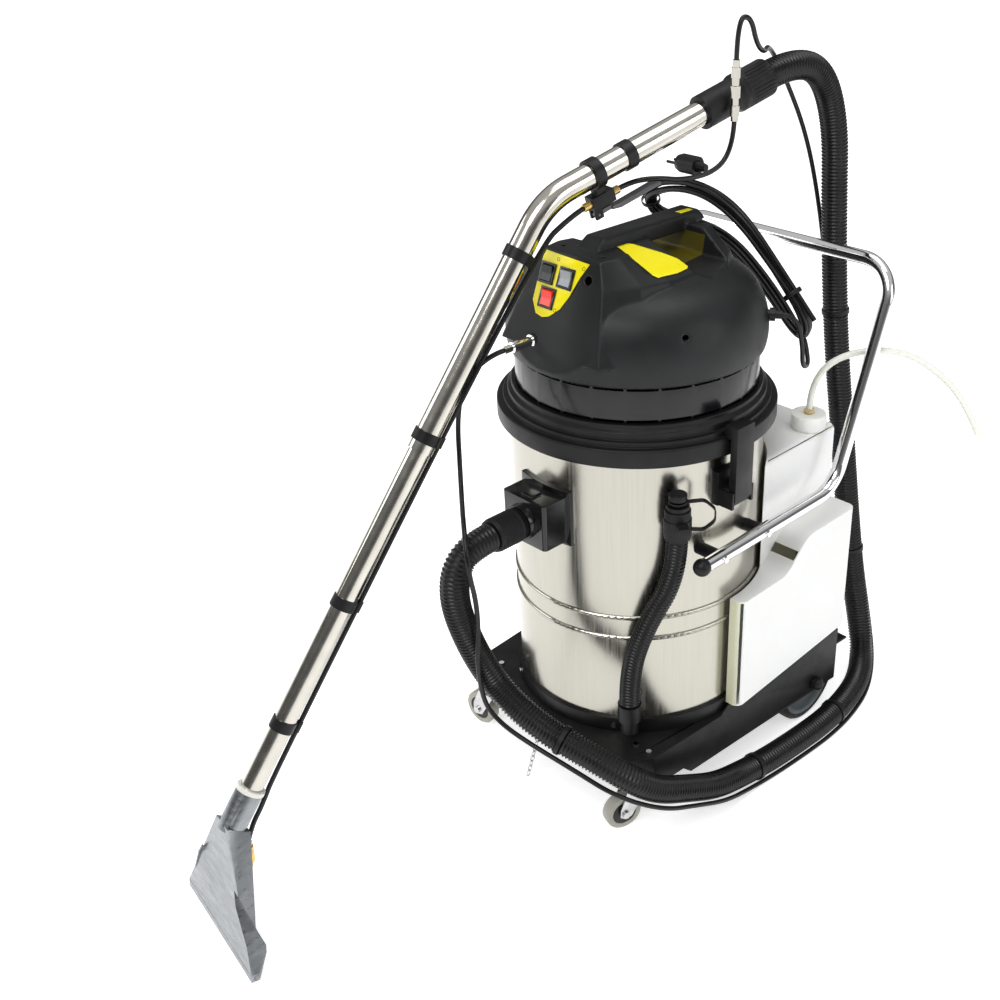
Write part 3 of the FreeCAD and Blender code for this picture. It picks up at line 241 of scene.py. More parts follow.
MAT = {
    "deck_black": mat("deck_black", (0.012, 0.012, 0.013), 0.44, var=0.25, vscale=14, grain=0.20, gscale=420, rvar=0.08, dirt=0.04, spec=0.35),
    "black_plastic": mat("black_plastic", (0.010, 0.010, 0.011), 0.40, var=0.25, vscale=18, grain=0.12, gscale=1400, rvar=0.07, scratch=0.04, spec=0.4),
    "zinc_steel": mat("zinc_steel", (0.60, 0.60, 0.60), 0.28, metal=1, var=0.12, vscale=60, grain=0.12, gscale=600, rvar=0.1),
    "grey_tyre": mat("grey_tyre", (0.42, 0.41, 0.37), 0.58, var=0.10, vscale=30, grain=0.3, gscale=700, dirt=0.15),
    "tyre_black": mat("tyre_black", (0.025, 0.025, 0.026), 0.65, var=0.3, vscale=30, grain=0.3, gscale=700, dirt=0.30),
    "grey_disc": mat("grey_disc", (0.155, 0.18, 0.19), 0.45, var=0.10, vscale=22, grain=0.2, gscale=900, dirt=0.08),
    "hub_black": mat("hub_black", (0.02, 0.02, 0.022), 0.35, var=0.3, vscale=30, grain=0.1, gscale=1100),
    "stainless": mat("stainless", (0.50, 0.485, 0.435), 0.22, metal=1, var=0.035, vscale=9, stretch=(40, 40, 0.9), rvar=0.05, rscale=9.0, grain=0.05, gscale=40),
    "tube_steel": mat("tube_steel", (0.60, 0.58, 0.53), 0.13, metal=1, var=0.05, vscale=30, rvar=0.05, rscale=60, grain=0.05, gscale=600, scratch=0.04),
    "gloss_black": mat("gloss_black", (0.010, 0.010, 0.011), 0.16, var=0.3, vscale=20, rvar=0.05, grain=0.03, gscale=900, coat=0.4, scratch=0.05),
    "vent_black": mat("vent_black", (0.008, 0.008, 0.010), 0.22, var=0.3, vscale=20, rvar=0.06, grain=0.04, gscale=1200, coat=0.25),
    "rubber_black": mat("rubber_black", (0.010, 0.010, 0.011), 0.46, var=0.25, vscale=25, rvar=0.07, grain=0.15, gscale=1200, spec=0.4),
    "hose_black": mat("hose_black", (0.009, 0.009, 0.010), 0.30, var=0.25, vscale=20, rvar=0.07, grain=0.08, gscale=1500),
    "cord_black": mat("cord_black", (0.012, 0.012, 0.013), 0.36, var=0.25, vscale=40, rvar=0.07, grain=0.08, gscale=1800),
    "chrome": mat("chrome", (0.86, 0.86, 0.87), 0.05, metal=1, var=0.02, vscale=25, rvar=0.02, rscale=40, scratch=0.03),
    "textured_black": mat("textured_black", (0.015, 0.016, 0.017), 0.40, var=0.16, vscale=10, rvar=0.05, grain=0.45, gscale=1300, spec=0.45),
    "yellow_panel": mat("yellow_panel", (0.90, 0.80, 0.004), 0.30, var=0.03, vscale=16, rvar=0.04, grain=0.04, gscale=800, coat=0.2),
    "rocker_black": mat("rocker_black", (0.020, 0.022, 0.026), 0.25, var=0.2, vscale=60, rvar=0.05, grain=0.05, gscale=1600, coat=0.3),
    "rocker_grey": mat("rocker_grey", (0.34, 0.36, 0.38), 0.28, var=0.08, vscale=60, rvar=0.05, grain=0.05, gscale=1600, coat=0.3),
    # red rocker; its emission is a painted glow, no lamp in the switch is lit
    "rocker_red": mat("rocker_red", (0.80, 0.045, 0.03), 0.20, var=0.12, vscale=60, rvar=0.05, grain=0.05, gscale=1600, coat=0.5, emit=(0.9, 0.05, 0.02, 0.25)),
    "motor_metal": mat("motor_metal", (0.22, 0.23, 0.25), 0.4, metal=0.6, var=0.1, vscale=40, grain=0.1),
    "white_plastic": mat("white_plastic", (0.80, 0.79, 0.74), 0.32, var=0.03, vscale=30, rvar=0.05, grain=0.06, gscale=900, sss=0.1),
    "tank_white": mat("tank_white", (0.90, 0.90, 0.865), 0.42, var=0.010, vscale=7, rvar=0.05, grain=0.06, gscale=260, sss=0.3, spec=0.35),
    "cream_plastic": mat("cream_plastic", (0.72, 0.58, 0.28), 0.35, var=0.06, vscale=60, grain=0.06, sss=0.15),
    "milky_tube": mat("milky_tube", (0.80, 0.82, 0.76), 0.28, var=0.03, vscale=20, rvar=0.05, grain=0.04, sss=0.35, coat=0.2),
    "brass_fitting": mat("brass_fitting", (0.68, 0.50, 0.20), 0.22, metal=1, var=0.12, vscale=70, rvar=0.08, grain=0.08, gscale=1200),
    "cast_aluminium": mat("cast_aluminium", (0.33, 0.345, 0.36), 0.33, metal=1, var=0.10, vscale=26, stretch=(1, 1, 4), rvar=0.08, rscale=60, grain=0.25, gscale=380, scratch=0.08),
    # yellow of the hand recess, darkened with painted shade where the recess lies in shadow
    "recess_yellow": mat("recess_yellow", (0.12, 0.10, 0.007), 0.42, var=0.10, vscale=16, grain=0.3, gscale=1000),
    "tank_edge": mat("tank_edge", (0.80, 0.80, 0.60), 0.40, var=0.03, vscale=8, rvar=0.05, grain=0.08, gscale=260, sss=0.3),
    "dark_steel": mat("dark_steel", (0.13, 0.13, 0.135), 0.30, metal=1, var=0.08, vscale=30, rvar=0.06, grain=0.1, gscale=700, scratch=0.1),
    # near-black painted shade for the inside of holes; no part uses it
    "hole_painted_shade": mat("hole_painted_shade", (0.004, 0.004, 0.004), 0.8, var=0.2, vscale=50, grain=0.1),
    "ink": mat("ink", (0.02, 0.02, 0.02), 0.4, var=0.3, vscale=90, grain=0.05),
}

NODE_MAT = {
    "base_deck": "deck_black", "drum_seat_ring": "black_plastic", "caster_fork_l": "zinc_steel", "caster_fork_r": "zinc_steel",
    "rear_axle": "black_plastic", "ground_chain": "zinc_steel", "frame_bolts": "chrome", "drum_shell": "stainless", "inlet_port": "gloss_black",
    "inlet_cuff": "rubber_black", "drain_outlet": "black_plastic", "drain_hose": "hose_black", "drain_cuff": "rubber_black", "drain_plug": "black_plastic",
    "drain_strap": "rubber_black", "latch_brackets": "black_plastic", "latch_l": "black_plastic", "latch_r": "black_plastic", "push_handle": "chrome",
    "handle_ends": "black_plastic", "handle_spacers": "black_plastic", "head_flange": "black_plastic", "vent_ring": "vent_black", "dome_cover": "textured_black",
    "control_panel": "yellow_panel", "switch_bezels": "rocker_black", "rocker_a": "rocker_black", "rocker_b": "rocker_grey", "rocker_c": "rocker_red",
    "solution_socket": "chrome", "cord_gland": "black_plastic", "vacuum_motors": "motor_metal", "solution_pump": "motor_metal", "float_cage": "black_plastic",
    "float_ball": "white_plastic", "solution_tank": "tank_white", "tank_cap": "tank_white", "supply_barb": "cream_plastic", "hose_coupler": "tube_steel",
    "wand_cuff": "rubber_black", "hose_bands": "rubber_black", "power_plug": "black_plastic", "wand_lower_tube": "tube_steel", "wand_upper_tube": "tube_steel",
    "wand_clips": "black_plastic", "valve_body": "black_plastic", "trigger_lever": "dark_steel", "floor_tool": "cast_aluminium", "tool_collar": "white_plastic",
    "spray_jet": "brass_fitting", "caster_wheel_l": "grey_tyre", "caster_wheel_r": "grey_tyre", "rear_wheel_l": "tyre_black", "rear_wheel_r": "tyre_black",
    "supply_tube": "milky_tube", "vacuum_hose": "hose_black", "solution_hose": "hose_black", "power_cord": "cord_black", "wand_line_in": "hose_black", "wand_line_out": "hose_black",
}
for n, o in NODES.items():
    m = MAT[NODE_MAT.get(n, "black_plastic")]
    if not o.data.materials:
        o.data.materials.append(m)
    for s in o.material_slots:
        s.material = m


# =====================================================================
# mesh helpers
# =====================================================================
def mesh_obj(name, verts, faces, material, smooth=True, body="machine"):
    me = bpy.data.meshes.new(name)
    me.from_pydata([tuple(v) for v in verts], [], [tuple(f) for f in faces])
    me.validate()
    if smooth:
        me.polygons.foreach_set("use_smooth", [True] * len(me.polygons))
    me.update()
    o = link(bpy.data.objects.new(name, me))
    me.materials.append(MAT[material])
    if body:
        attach(o, body)
    return o


def frames(P):
    P = np.asarray(P, float)
    T = np.gradient(P, axis=0)
    T /= np.linalg.norm(T, axis=1)[:, None]
    up = np.array([0, 0, 1.0]) if abs(T[0][2]) < 0.9 else np.array([1.0, 0, 0])
    n = up - T[0] * (up @ T[0])
    n /= np.linalg.norm(n)
    Nn = [n]
    for i in range(1, len(P)):
        n = Nn[-1] - T[i] * (Nn[-1] @ T[i])
        n /= np.linalg.norm(n)
        Nn.append(n)
    Nn = np.array(Nn)
    return T, Nn, np.cross(T, Nn)


def arclen(P):
    d = np.linalg.norm(np.diff(P, axis=0), axis=1)
    return np.concatenate([[0], np.cumsum(d)])


def sample(P, s):
    """points and even spacing along a polyline at arc lengths s"""
    a = arclen(P)
    return np.stack([np.interp(s, a, P[:, k]) for k in range(3)], 1)


def tube_mesh(name, P, R, seg, material, body="machine", cap=True, smooth=True):
    """a skin round the points P with the radius R at each"""
    T, Nn, B = frames(P)
    ang = np.linspace(0, 2 * math.pi, seg, endpoint=False)
    V = (P[:, None, :] + R[:, None, None] * (np.cos(ang)[None, :, None] * Nn[:, None, :] + np.sin(ang)[None, :, None] * B[:, None, :])).reshape(-1, 3)
    F = []
    n = len(P)
    for i in range(n - 1):
        for j in range(seg):
            k = (j + 1) % seg
            F.append((i * seg + j, i * seg + k, (i + 1) * seg + k, (i + 1) * seg + j))
    if cap:
        F.append(tuple(reversed(range(seg))))
        F.append(tuple((n - 1) * seg + j for j in range(seg)))
    return mesh_obj(name, V, F, material, smooth, body)


def spline(name, pts, radius=0.0, material=None, res=16, body=None):
    """one open NURBS spline with the route's points as its control points"""
    cu = bpy.data.curves.new(name, "CURVE")
    cu.dimensions = "3D"
    sp = cu.splines.new("NURBS")
    sp.points.add(len(pts) - 1)
    for p, q in zip(sp.points, pts):
        p.co = (q[0], q[1], q[2], 1.0)
    sp.order_u = 3
    sp.use_endpoint_u = True
    sp.resolution_u = res
    cu.resolution_u = res
    o = link(bpy.data.objects.new(name, cu))
    if radius:
        cu.bevel_depth = radius
        cu.bevel_resolution = 5
        cu.use_fill_caps = True
        cu.materials.append(MAT[material])
    if body:
        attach(o, body)
    return o


def line_of(pts, res=24):
    """points read from the route's own spline"""
    o = spline("guide", pts, 0, None, res)
    dg = bpy.context.evaluated_depsgraph_get()
    me = bpy.data.meshes.new_from_object(o.evaluated_get(dg))
    P = np.array([tuple(v.co) for v in me.vertices])
    bpy.data.meshes.remove(me)
    cu = o.data
    bpy.data.objects.remove(o)
    bpy.data.curves.remove(cu)
    keep = [0] + [i for i in range(1, len(P)) if np.linalg.norm(P[i] - P[i - 1]) > 1e-6]
    return P[keep]


def curve_length(pts):
    return float(arclen(line_of(pts))[-1])


def corrugated(name, pts, r_out, depth, pitch, seg, material, body="machine", plain=0.0, sharp=1.0):
    P = line_of(pts, 40)
    Ltot = arclen(P)[-1]
    nr = int(round(Ltot / pitch))
    prof = ((0.0, 0.0), (0.18, 0.12), (0.34, 0.78), (0.50, 1.0), (0.66, 0.78), (0.82, 0.12))
    S = []
    R = []
    for i in range(nr):
        for a, h in prof:
            S.append((i + a) * Ltot / nr)
            R.append(r_out - depth + depth * h ** sharp)
    S.append(Ltot)
    R.append(r_out - depth)
    Q = sample(P, np.array(S))
    o = tube_mesh(name, Q, np.array(R), seg, material, body)
    return o, P, float(Ltot)


def revolve_mesh(name, prof, origin, axis, seg, material, body="machine", smooth=True, flute=None):
    """prof is (distance along the axis, radius); closed at both ends where the radius is 0"""
    z = Vector(axis).normalized()
    x = z.orthogonal().normalized()
    y = z.cross(x)
    V = []
    F = []
    for i, (t, r) in enumerate(prof):
        for j in range(seg):
            a = 2 * math.pi * j / seg
            rr = r if not flute else flute(i, a, t, r)
            V.append(Vector(origin) + z * t + (x * math.cos(a) + y * math.sin(a)) * rr)
    n = len(prof)
    for i in range(n - 1):
        for j in range(seg):
            k = (j + 1) % seg
            F.append((i * seg + j, i * seg + k, (i + 1) * seg + k, (i + 1) * seg + j))
    return mesh_obj(name, V, F, material, smooth, body)


# =====================================================================
# cords and hoses first
# =====================================================================
M = lambda pts: [(x * mm, y * mm, z * mm) for x, y, z in pts]
HOSE = M([(-4, -105.05, 565), (-4, -148.05, 565), (-7, -180.05, 536), (-10, -185.05, 480), (-6, -172.05, 415), (6, -152.05, 346), 
          (33, -130.05, 284), (109, -117.05, 246), (180, -92.05, 220), (244, -59.05, 184), (263, -4.05, 130), (272, 66.95, 93), 
          (280, 135.95, 59), (276, 213.95, 33), (284, 289.95, 26.6), (291, 369.95, 26.4), (295, 447.95, 26.6), (289, 525.95, 26.4), 
          (269, 608.95, 26.8), (233, 672.95, 45), (204, 688.95, 123), (184, 687.95, 203), (162, 684.95, 330), (134, 683.95, 500), 
          (102, 684.95, 680), (84, 683.95, 830), (74, 680.95, 960), (68, 674.95, 1100), (65, 626.95, 1196), (59.28, 546.81, 1217.44), 
          (49.83, 488.54, 1200.2)])
SOL = M([(-40, -27.13, 850.4), (-44, -57.13, 848.4), (-84, -75.05, 800), (-98, -81.05, 735), (-80, -97.05, 668), (-42, -129.05, 614),
         (8, -168.05, 597), (31, -184.05, 549), (28, -171.05, 490), (24, -167.05, 432), (30, -179.05, 382), (28, -175.05, 325),
         (30, -167.05, 277), (58, -157.05, 248), (103, -141.05, 225), (176, -115.05, 196), (250, -85.05, 160), (288, -11.05, 106),
         (298, 63.95, 72), (306, 135.95, 39), (299, 214.95, 11), (305, 290.95, 4.8), (312, 370.95, 4.8), (316, 447.95, 4.8),
         (310, 527.95, 4.8), (289, 617.95, 5.2), (248, 694.95, 27), (208, 719.95, 118), (186, 718.95, 205), (163, 715.95, 330),
         (134, 714.95, 500), (96, 714.95, 660), (56, 704.95, 800), (36, 684.95, 960), (22, 652.95, 1080), (14, 590.95, 1184),
         (30, 520.95, 1245), (62, 466.95, 1242), (77, 426.95, 1262), (76, 410.95, 1304), (73, 382.95, 1304), (73, 382.95, 1243)])
SUPPLY = M([(168, 510.95, 634), (168, 510.95, 692), (203, 554.95, 740), (274, 626.95, 744), (330, 672.95, 702), (372, 706.95, 642), 
          (395, 724.95, 582)])
DRAIN = M([(157.97, 43.77, 232), (157.97, 43.77, 300), (178, 61.95, 392), (210, 101.95, 486), (210, 101.95, 560)])
LIN = M([(73, 382.95, 1150), (73, 380.95, 1112), (66, 354.95, 1076), (48, 294.95, 1068), (34, 240.95, 1080), (5.29, 213.89, 1074.14), 
          (1.29, 189.25, 1066.85)])
LOUT = M([(-9.47, 122.93, 1047.23), (-13.11, 100.46, 1039.54), (-23.58, 35.94, 1000.53), (-108.55, -487.98, 258.89), (-112.99, -515.34, 208), 
          (-116.51, -537.06, 178), (-118.11, -546.93, 150)])
STRAND = M([(194.45, 375.63, 858), (213.45, 389.63, 856), (222.45, 397.63, 806), (216.45, 409.63, 762), (208, 438.95, 752), 
          (190, 458.95, 768), (172, 465.95, 790)])
HANK = M([(-140, 414.95, 1000), (-30, 416.95, 1024), (62, 420.95, 990), (134, 429.95, 912), (204, 439.95, 832), (172, 466.95, 782), 
          (92, 470.95, 858), (6, 464.95, 926), (-80, 450.95, 942), (-150, 440.95, 948)])

hose, hose_line, hose_len = corrugated("vacuum_hose_ribbed", HOSE, 0.0240, 0.0026, 0.0064, 30, "hose_black")
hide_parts("vacuum_hose")

sol = spline("solution_line", SOL, 0.004, "hose_black", body="machine")
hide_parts("solution_hose")

sup = spline("supply_hose", SUPPLY, 0.006, "milky_tube", body="machine")
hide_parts("supply_tube")

dr, dr_line, dr_len = corrugated("drain_hose_ribbed", DRAIN, 0.0180, 0.0028, 0.0062, 28, "hose_black", sharp=1.3)
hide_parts("drain_hose")

lin_line = line_of(LIN, 24)
lin = tube_mesh("wand_feed_line", lin_line, np.full(len(lin_line), 0.004), 16, "hose_black", body=None)
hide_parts("wand_line_in")
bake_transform(lin)

lout = spline("wand_jet_line", LOUT, 0.004, "hose_black", body="wand")
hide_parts("wand_line_out")

# the mains cord: out of its gland, down and up to the hank, six turns, then the plug
strand_in = STRAND


def hank_points():
    """control points of the turns: the hank's closed middle line, moved out a little, differently on each turn"""
    H = np.array(HANK)
    c = H.mean(axis=0)
    n = len(H)
    # plane of the hank and its outward directions
    u, s, vt = np.linalg.svd(H - c)
    nrm = vt[2]
    pts = []
    offs = [(-0.0095, -0.004), (-0.003, 0.0095), (0.0085, 0.0045), (0.0045, -0.0075), (-0.004, 0.001), (0.011, -0.001)]
    start = 5
    for t, (o_in, o_n) in enumerate(offs):
        for k in range(n):
            i = (start + k) % n
            f = (k + 0.5) / n
            nx = offs[(t + 1) % len(offs)] if t < len(offs) - 1 else offs[t]
            wgt = 0.0 if f < 0.75 else (f - 0.75) / 0.25
            a = o_in * (1 - wgt) + nx[0] * wgt
            b = o_n * (1 - wgt) + nx[1] * wgt
            d = H[i] - c
            tang = H[(i + 1) % n] - H[i - 1]
            tang /= np.linalg.norm(tang)
            side = np.cross(nrm, tang)
            side /= np.linalg.norm(side)
            if side @ d < 0:
                side = -side
            pts.append(tuple(H[i] + side * a + nrm * b))
    return pts


HK = hank_points()
CORD = list(STRAND[:-1]) + HK
cord_len = curve_length(CORD)
print("cord length", round(cord_len, 3), "hose", round(hose_len, 3), "sol", round(curve_length(SOL), 3), "supply", round(curve_length(SUPPLY), 3), "lin", round(curve_length(LIN), 3))
pc = spline("mains_cord", CORD, 0.004, "cord_black", res=8, body="machine")
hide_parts("power_cord")

# =====================================================================
# shells and castings with their moulded edges
# =====================================================================
def copy_of(node, name, body="machine"):
    src = NODES[node]
    me = src.data.copy()
    me.name = name
    o = link(bpy.data.objects.new(name, me))
    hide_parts(node)
    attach(o, body)
    return o


def bake_mods(o):
    dg = bpy.context.evaluated_depsgraph_get()
    me = bpy.data.meshes.new_from_object(o.evaluated_get(dg))
    o.modifiers.clear()
    o.data = me
    me.polygons.foreach_set("use_smooth", [True] * len(me.polygons))


def soften(node, name, width, body="machine", seg=3, angle=28):
    """a copy of a node whose sharp edges are rounded, as moulded or bent edges are"""
    o = copy_of(node, name, body)
    bm = bmesh.new()
    bm.from_mesh(o.data)
    bmesh.ops.remove_doubles(bm, verts=bm.verts, dist=2e-6)
    bmesh.ops.dissolve_limit(bm, angle_limit=math.radians(1.2), verts=bm.verts, edges=bm.edges, delimit={"NORMAL"})
    es = [x for x in bm.edges if len(x.link_faces) == 2 and x.calc_face_angle(0) > math.radians(angle)]
    bmesh.ops.bevel(bm, geom=es, offset=width, segments=seg, affect="EDGES", profile=0.5, clamp_overlap=True)
    bmesh.ops.triangulate(bm, faces=[f for f in bm.faces if len(f.verts) > 4])
    me = bpy.data.meshes.new(name)
    bm.to_mesh(me)
    bm.free()
    for m_ in NODES[node].data.materials:
        me.materials.append(m_)
    o.data = me
    me.polygons.foreach_set("use_smooth", [True] * len(me.polygons))
    me.set_sharp_from_angle(angle=math.radians(38))
    return o


def remeshed(node, name, voxel, steps, body="machine"):
    o = copy_of(node, name, body)
    r = o.modifiers.new("remesh", "REMESH")
    r.mode = "VOXEL"
    r.voxel_size = voxel
    r.adaptivity = 0.0
    sm = o.modifiers.new("smooth", "SMOOTH")
    sm.factor = 0.5
    sm.iterations = steps
    bake_mods(o)
    o.data.materials.clear()
    return o


dome = remeshed("dome_cover", "head_shell", 0.0021, 9)
for k in ("textured_black", "recess_yellow"):
    dome.data.materials.append(MAT[k])
# faces in the hand recess get the yellow darkened with painted shade
for f in dome.data.polygons:
    c = f.center
    if abs(c.x) < 0.064 and 0.240 < c.y < 0.332 and 0.925 < c.z < 0.9745:
        f.material_index = 1
    else:
        f.material_index = 0

tank = soften("solution_tank", "tank_shell", 0.006, seg=4)
tank.data.materials.append(MAT["tank_edge"])
for f in tank.data.polygons:
    if f.normal.y < -0.75 and abs(f.center.x) > 0.12:
        f.material_index = 1

for node, width in (("base_deck", 0.0012), ("inlet_port", 0.0022), ("latch_brackets", 0.0014), ("head_flange", 0.0012), ("control_panel", 0.0006), ("switch_bezels", 0.0008), ("drain_cuff", 0.0012), ("vent_ring", 0.0007)):
    soften(node, node + "_shape", width)
soften("latch_l", "latch_left_lever", 0.0020, "latch_left")
soften("latch_r", "latch_right_lever", 0.0020, "latch_right")
valve = soften("valve_body", "valve_block", 0.0012, "wand")
valve.data.materials.append(MAT["brass_fitting"])
for f in valve.data.polygons:
    if (f.center - Vector(LIN[-1])).length < 0.016 or (f.center - Vector(LOUT[0])).length < 0.016:
        f.material_index = len(valve.data.materials) - 1
soften("trigger_lever", "trigger_plate", 0.0012, "trigger")
soften("floor_tool", "floor_tool_casting", 0.0012, "wand")
soften("tank_cap", "tank_cap_shape", 0.0010, "cap")


# =====================================================================
# wheels
# =====================================================================
def rear(sx, n):
    def P(pr):
        return [(sx * a, r) for a, r in pr]
    disc = [(0.2100, 0.0085), (0.2100, 0.0195), (0.2106, 0.0215), (0.2170, 0.0220), (0.2195, 0.0260), (0.2202, 0.0300), (0.2202, 0.0560), (0.2170, 0.0625),
            (0.2140, 0.0655), (0.2138, 0.0735), (0.2394, 0.0735), (0.2392, 0.0655), (0.2360, 0.0625), (0.2330, 0.0560), (0.2330, 0.0300), (0.2342, 0.0260),
            (0.2370, 0.0225), (0.2430, 0.0215), (0.2436, 0.0195), (0.2436, 0.0085), (0.2100, 0.0085)]
    tyre = [(0.2139, 0.0735), (0.2130, 0.0750), (0.2131, 0.0805), (0.2150, 0.0838), (0.2180, 0.0856), (0.2205, 0.0859), (0.2212, 0.0840), (0.2222, 0.0840), (0.2229, 0.0860),
            (0.2265, 0.0860), (0.2301, 0.0860), (0.2308, 0.0840), (0.2318, 0.0840), (0.2325, 0.0859), (0.2350, 0.0856), (0.2380, 0.0838), (0.2399, 0.0805), (0.2400, 0.0750),
            (0.2393, 0.0735), (0.2139, 0.0735)]
    a = revolve_mesh("rear_disc_" + n, P(disc), (0, 0.47195, 0.086), (1, 0, 0), 96, "grey_disc", "rear_" + n)
    b = revolve_mesh("rear_tread_" + n, P(tyre), (0, 0.47195, 0.086), (1, 0, 0), 96, "tyre_black", "rear_" + n)
    for o in (a, b):
        bm = bmesh.new()
        bm.from_mesh(o.data)
        bmesh.ops.remove_doubles(bm, verts=bm.verts, dist=1e-6)
        bmesh.ops.recalc_face_normals(bm, faces=bm.faces)
        bm.to_mesh(o.data)
        bm.free()
        o.data.set_sharp_from_angle(angle=math.radians(40))
    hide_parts("rear_wheel_" + n)


rear(-1, "l")
rear(1, "r")
for n, c0, ax in (("l", (-0.22194, 0.02794, 0.034), (0.062791, -0.998027, 0)), ("r", (0.1799, -0.00041, 0.034), (0.948876, -0.315649, 0))):
    o = soften("caster_wheel_" + n, "caster_" + n + "_wheel", 0.0008, "caster_" + n)
    o.data.materials.clear()
    o.data.materials.append(MAT["grey_tyre"])
    o.data.materials.append(MAT["hub_black"])
    C, A = Vector(c0), Vector(ax).normalized()
    for f in o.data.polygons:
        d = f.center - C
        f.material_index = 1 if (d - A * d.dot(A)).length < 0.0226 else 0


# =====================================================================
# ribbed rubber cuffs
# =====================================================================
def flutes(lo, hi, count, deep):
    def fn(i, a, t, r):
        if lo < t < hi and r > 0.024:
            return r - deep * (0.5 + 0.5 * math.cos(count * a)) ** 2
        return r
    return fn


cu = [(0.0, 0.0202), (0.0, 0.0265), (0.001, 0.0272), (0.007, 0.0275), (0.008, 0.0284), (0.0095, 0.0285)] + [(0.0105 + 0.004 * i, 0.0285) for i in range(10)] + [
    (0.0495, 0.0285), (0.052, 0.0285), (0.0535, 0.0275), (0.0570, 0.0272), (0.058, 0.0264), (0.058, 0.0202), (0.0, 0.0202)]
o = revolve_mesh("inlet_cuff_ribbed", cu, (-0.004, -0.04705, 0.565), (0, -1, 0), 220, "rubber_black", "machine", flute=flutes(0.010, 0.050, 44, 0.0009))
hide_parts("inlet_cuff")
UPD = Vector((0.15368, 0.947516, 0.280351)).normalized()
wc = [(0.0, 0.0202), (0.0, 0.0266), (0.001, 0.0274), (0.008, 0.0275)] + [(0.0105 + 0.005 * i, 0.0275) for i in range(10)] + [(0.060, 0.0275), (0.068, 0.0275), (0.0705, 0.0283), (0.0745, 0.0303), (0.077, 0.031),
      (0.084, 0.031), (0.086, 0.0302)] + [(0.088 + 0.0052 * i, 0.031) for i in range(11)] + [(0.142, 0.0306), (0.143, 0.0298), (0.143, 0.0243), (0.135, 0.0243), (0.135, 0.0202), (0.0, 0.0202)]
o = revolve_mesh("wand_cuff_ribbed", wc, (0.0278556, 0.3530468, 1.1601098), UPD, 240, "rubber_black", "machine", flute=flutes(0.0885, 0.1395, 30, 0.0016))
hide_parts("wand_cuff")
for nm in ("inlet_cuff_ribbed", "wand_cuff_ribbed"):
    q = bpy.data.objects[nm]
    bm = bmesh.new()
    bm.from_mesh(q.data)
    bmesh.ops.remove_doubles(bm, verts=bm.verts, dist=1e-6)
    bmesh.ops.recalc_face_normals(bm, faces=bm.faces)
    bm.to_mesh(q.data)
    bm.free()
    q.data.set_sharp_from_angle(angle=math.radians(45))


# =====================================================================
# stickers on the head, plain, and symbols on the panel
# =====================================================================
from mathutils.bvhtree import BVHTree


def tree_of(o):
    return BVHTree.FromPolygons([v.co.copy() for v in o.data.vertices], [tuple(f.vertices) for f in o.data.polygons])


DT = tree_of(dome)


def decal(name, pts, material, tree, lift=0.0005, thick=0.0003, cuts=5, grow=0.0):
    P = [Vector(q) * mm for q in pts]
    c = sum(P, Vector()) / len(P)
    P = [q + (q - c).normalized() * grow for q in P]
    bm = bmesh.new()
    bm.faces.new([bm.verts.new(q) for q in P])
    bmesh.ops.triangulate(bm, faces=bm.faces)
    for _ in range(cuts):
        bmesh.ops.subdivide_edges(bm, edges=bm.edges, cuts=1, use_grid_fill=True)
        bmesh.ops.triangulate(bm, faces=bm.faces)
        if len(bm.faces) > 6000:
            break
    lay = []
    for v in bm.verts:
        hit, nrm, idx, dist = tree.find_nearest(v.co)
        lay.append((v, hit, nrm))
    avg = sum((n for _, _, n in lay), Vector()).normalized()
    for v, hit, nrm in lay:
        v.co = hit + avg * (lift + thick)
    bmesh.ops.recalc_face_normals(bm, faces=bm.faces)
    if sum((f.normal.dot(avg) for f in bm.faces)) < 0:
        bmesh.ops.reverse_faces(bm, faces=bm.faces)
    me = bpy.data.meshes.new(name)
    bm.to_mesh(me)
    bm.free()
    o = link(bpy.data.objects.new(name, me))
    me.materials.append(MAT[material])
    s_ = o.modifiers.new("thick", "SOLIDIFY")
    s_.thickness = thick
    s_.offset = -1
    bake_mods(o)
    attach(o, "machine")
    return o


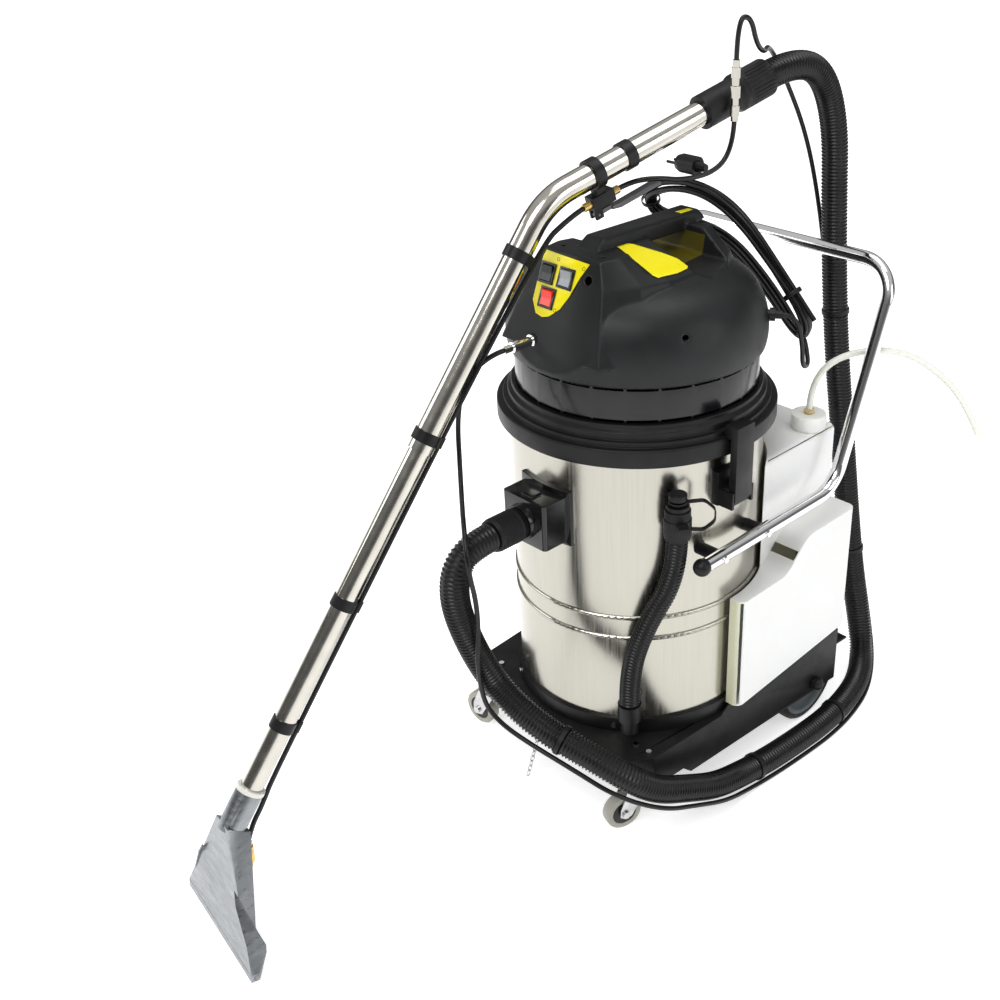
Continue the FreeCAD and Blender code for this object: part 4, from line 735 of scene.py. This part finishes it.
MAIN = [(27, 158, 988), (27, 183, 988), (66, 216, 973), (104, 241, 958), (113, 228, 954), (115, 203, 953.5), (111, 162, 955), (104, 157, 958)]
decal("head_sticker_edge", MAIN, "ink", DT, lift=0.0003, grow=0.0016)
decal("head_sticker", MAIN, "yellow_panel", DT, lift=0.0009)
decal("grip_sticker", [(4, 322, 1003), (17, 322, 1003), (17, 352, 1003), (7, 352, 1003)], "yellow_panel", DT, lift=0.0004, cuts=3)

TILT = math.atan(40.0 / 98.0)
PU = Vector((0, math.sin(TILT), math.cos(TILT)))
PN = Vector((0, -math.cos(TILT), math.sin(TILT)))
PO = Vector((0, (-150 - 48 * 40.0 / 98.0 + 234.95) * mm, 0.930))


def on_panel(x, h, out):
    return PO + Vector((x * mm, 0, 0)) + PU * (h * mm) + PN * (out * mm)


def symbol_ring(name, x, h, r, w_, mat_name="ink"):
    prof = [(1.55 * mm, (r - w_) * mm), (1.80 * mm, (r - w_) * mm), (1.86 * mm, (r - w_ * 0.7) * mm), (1.86 * mm, (r - w_ * 0.3) * mm), (1.80 * mm, r * mm), (1.55 * mm, r * mm), (1.55 * mm, (r - w_) * mm)]
    q = revolve_mesh(name, prof, on_panel(x, h, 0), PN, 32, mat_name, "machine")
    return q


for i, (x, h) in enumerate(((32, 44), (-24, 47), (-6, -30))):
    symbol_ring("panel_symbol_%d" % i, x, h, 3.0, 0.6)

# ties round the hank of mains cord
HA = np.array(HANK)
for k, (i, j) in enumerate(((3, 4), (0, 9))):
    a, b = Vector(HA[i]), Vector(HA[j])
    d = (b - a).normalized()
    c = (a + b) * 0.5 - d * 0.004
    pr = [(0.0, 0.0160), (0.0006, 0.0170), (0.0024, 0.0174), (0.0056, 0.0174), (0.0074, 0.0170), (0.008, 0.0160), (0.0, 0.0160)]
    q = revolve_mesh("hank_tie_%d" % k, pr, c, d, 48, "rubber_black", "machine")

# =====================================================================
# floor
# =====================================================================
fm = mat("floor", (0.88, 0.88, 0.88), 0.7, var=0.01, vscale=2, grain=0.02, emit=(1, 1, 1, 0.60))
me = bpy.data.meshes.new("floor")
bm = bmesh.new()
bmesh.ops.create_grid(bm, x_segments=8, y_segments=8, size=30)
bm.to_mesh(me)
bm.free()
floor = link(bpy.data.objects.new("floor", me))
floor.location.z = -0.0005
me.materials.append(fm)
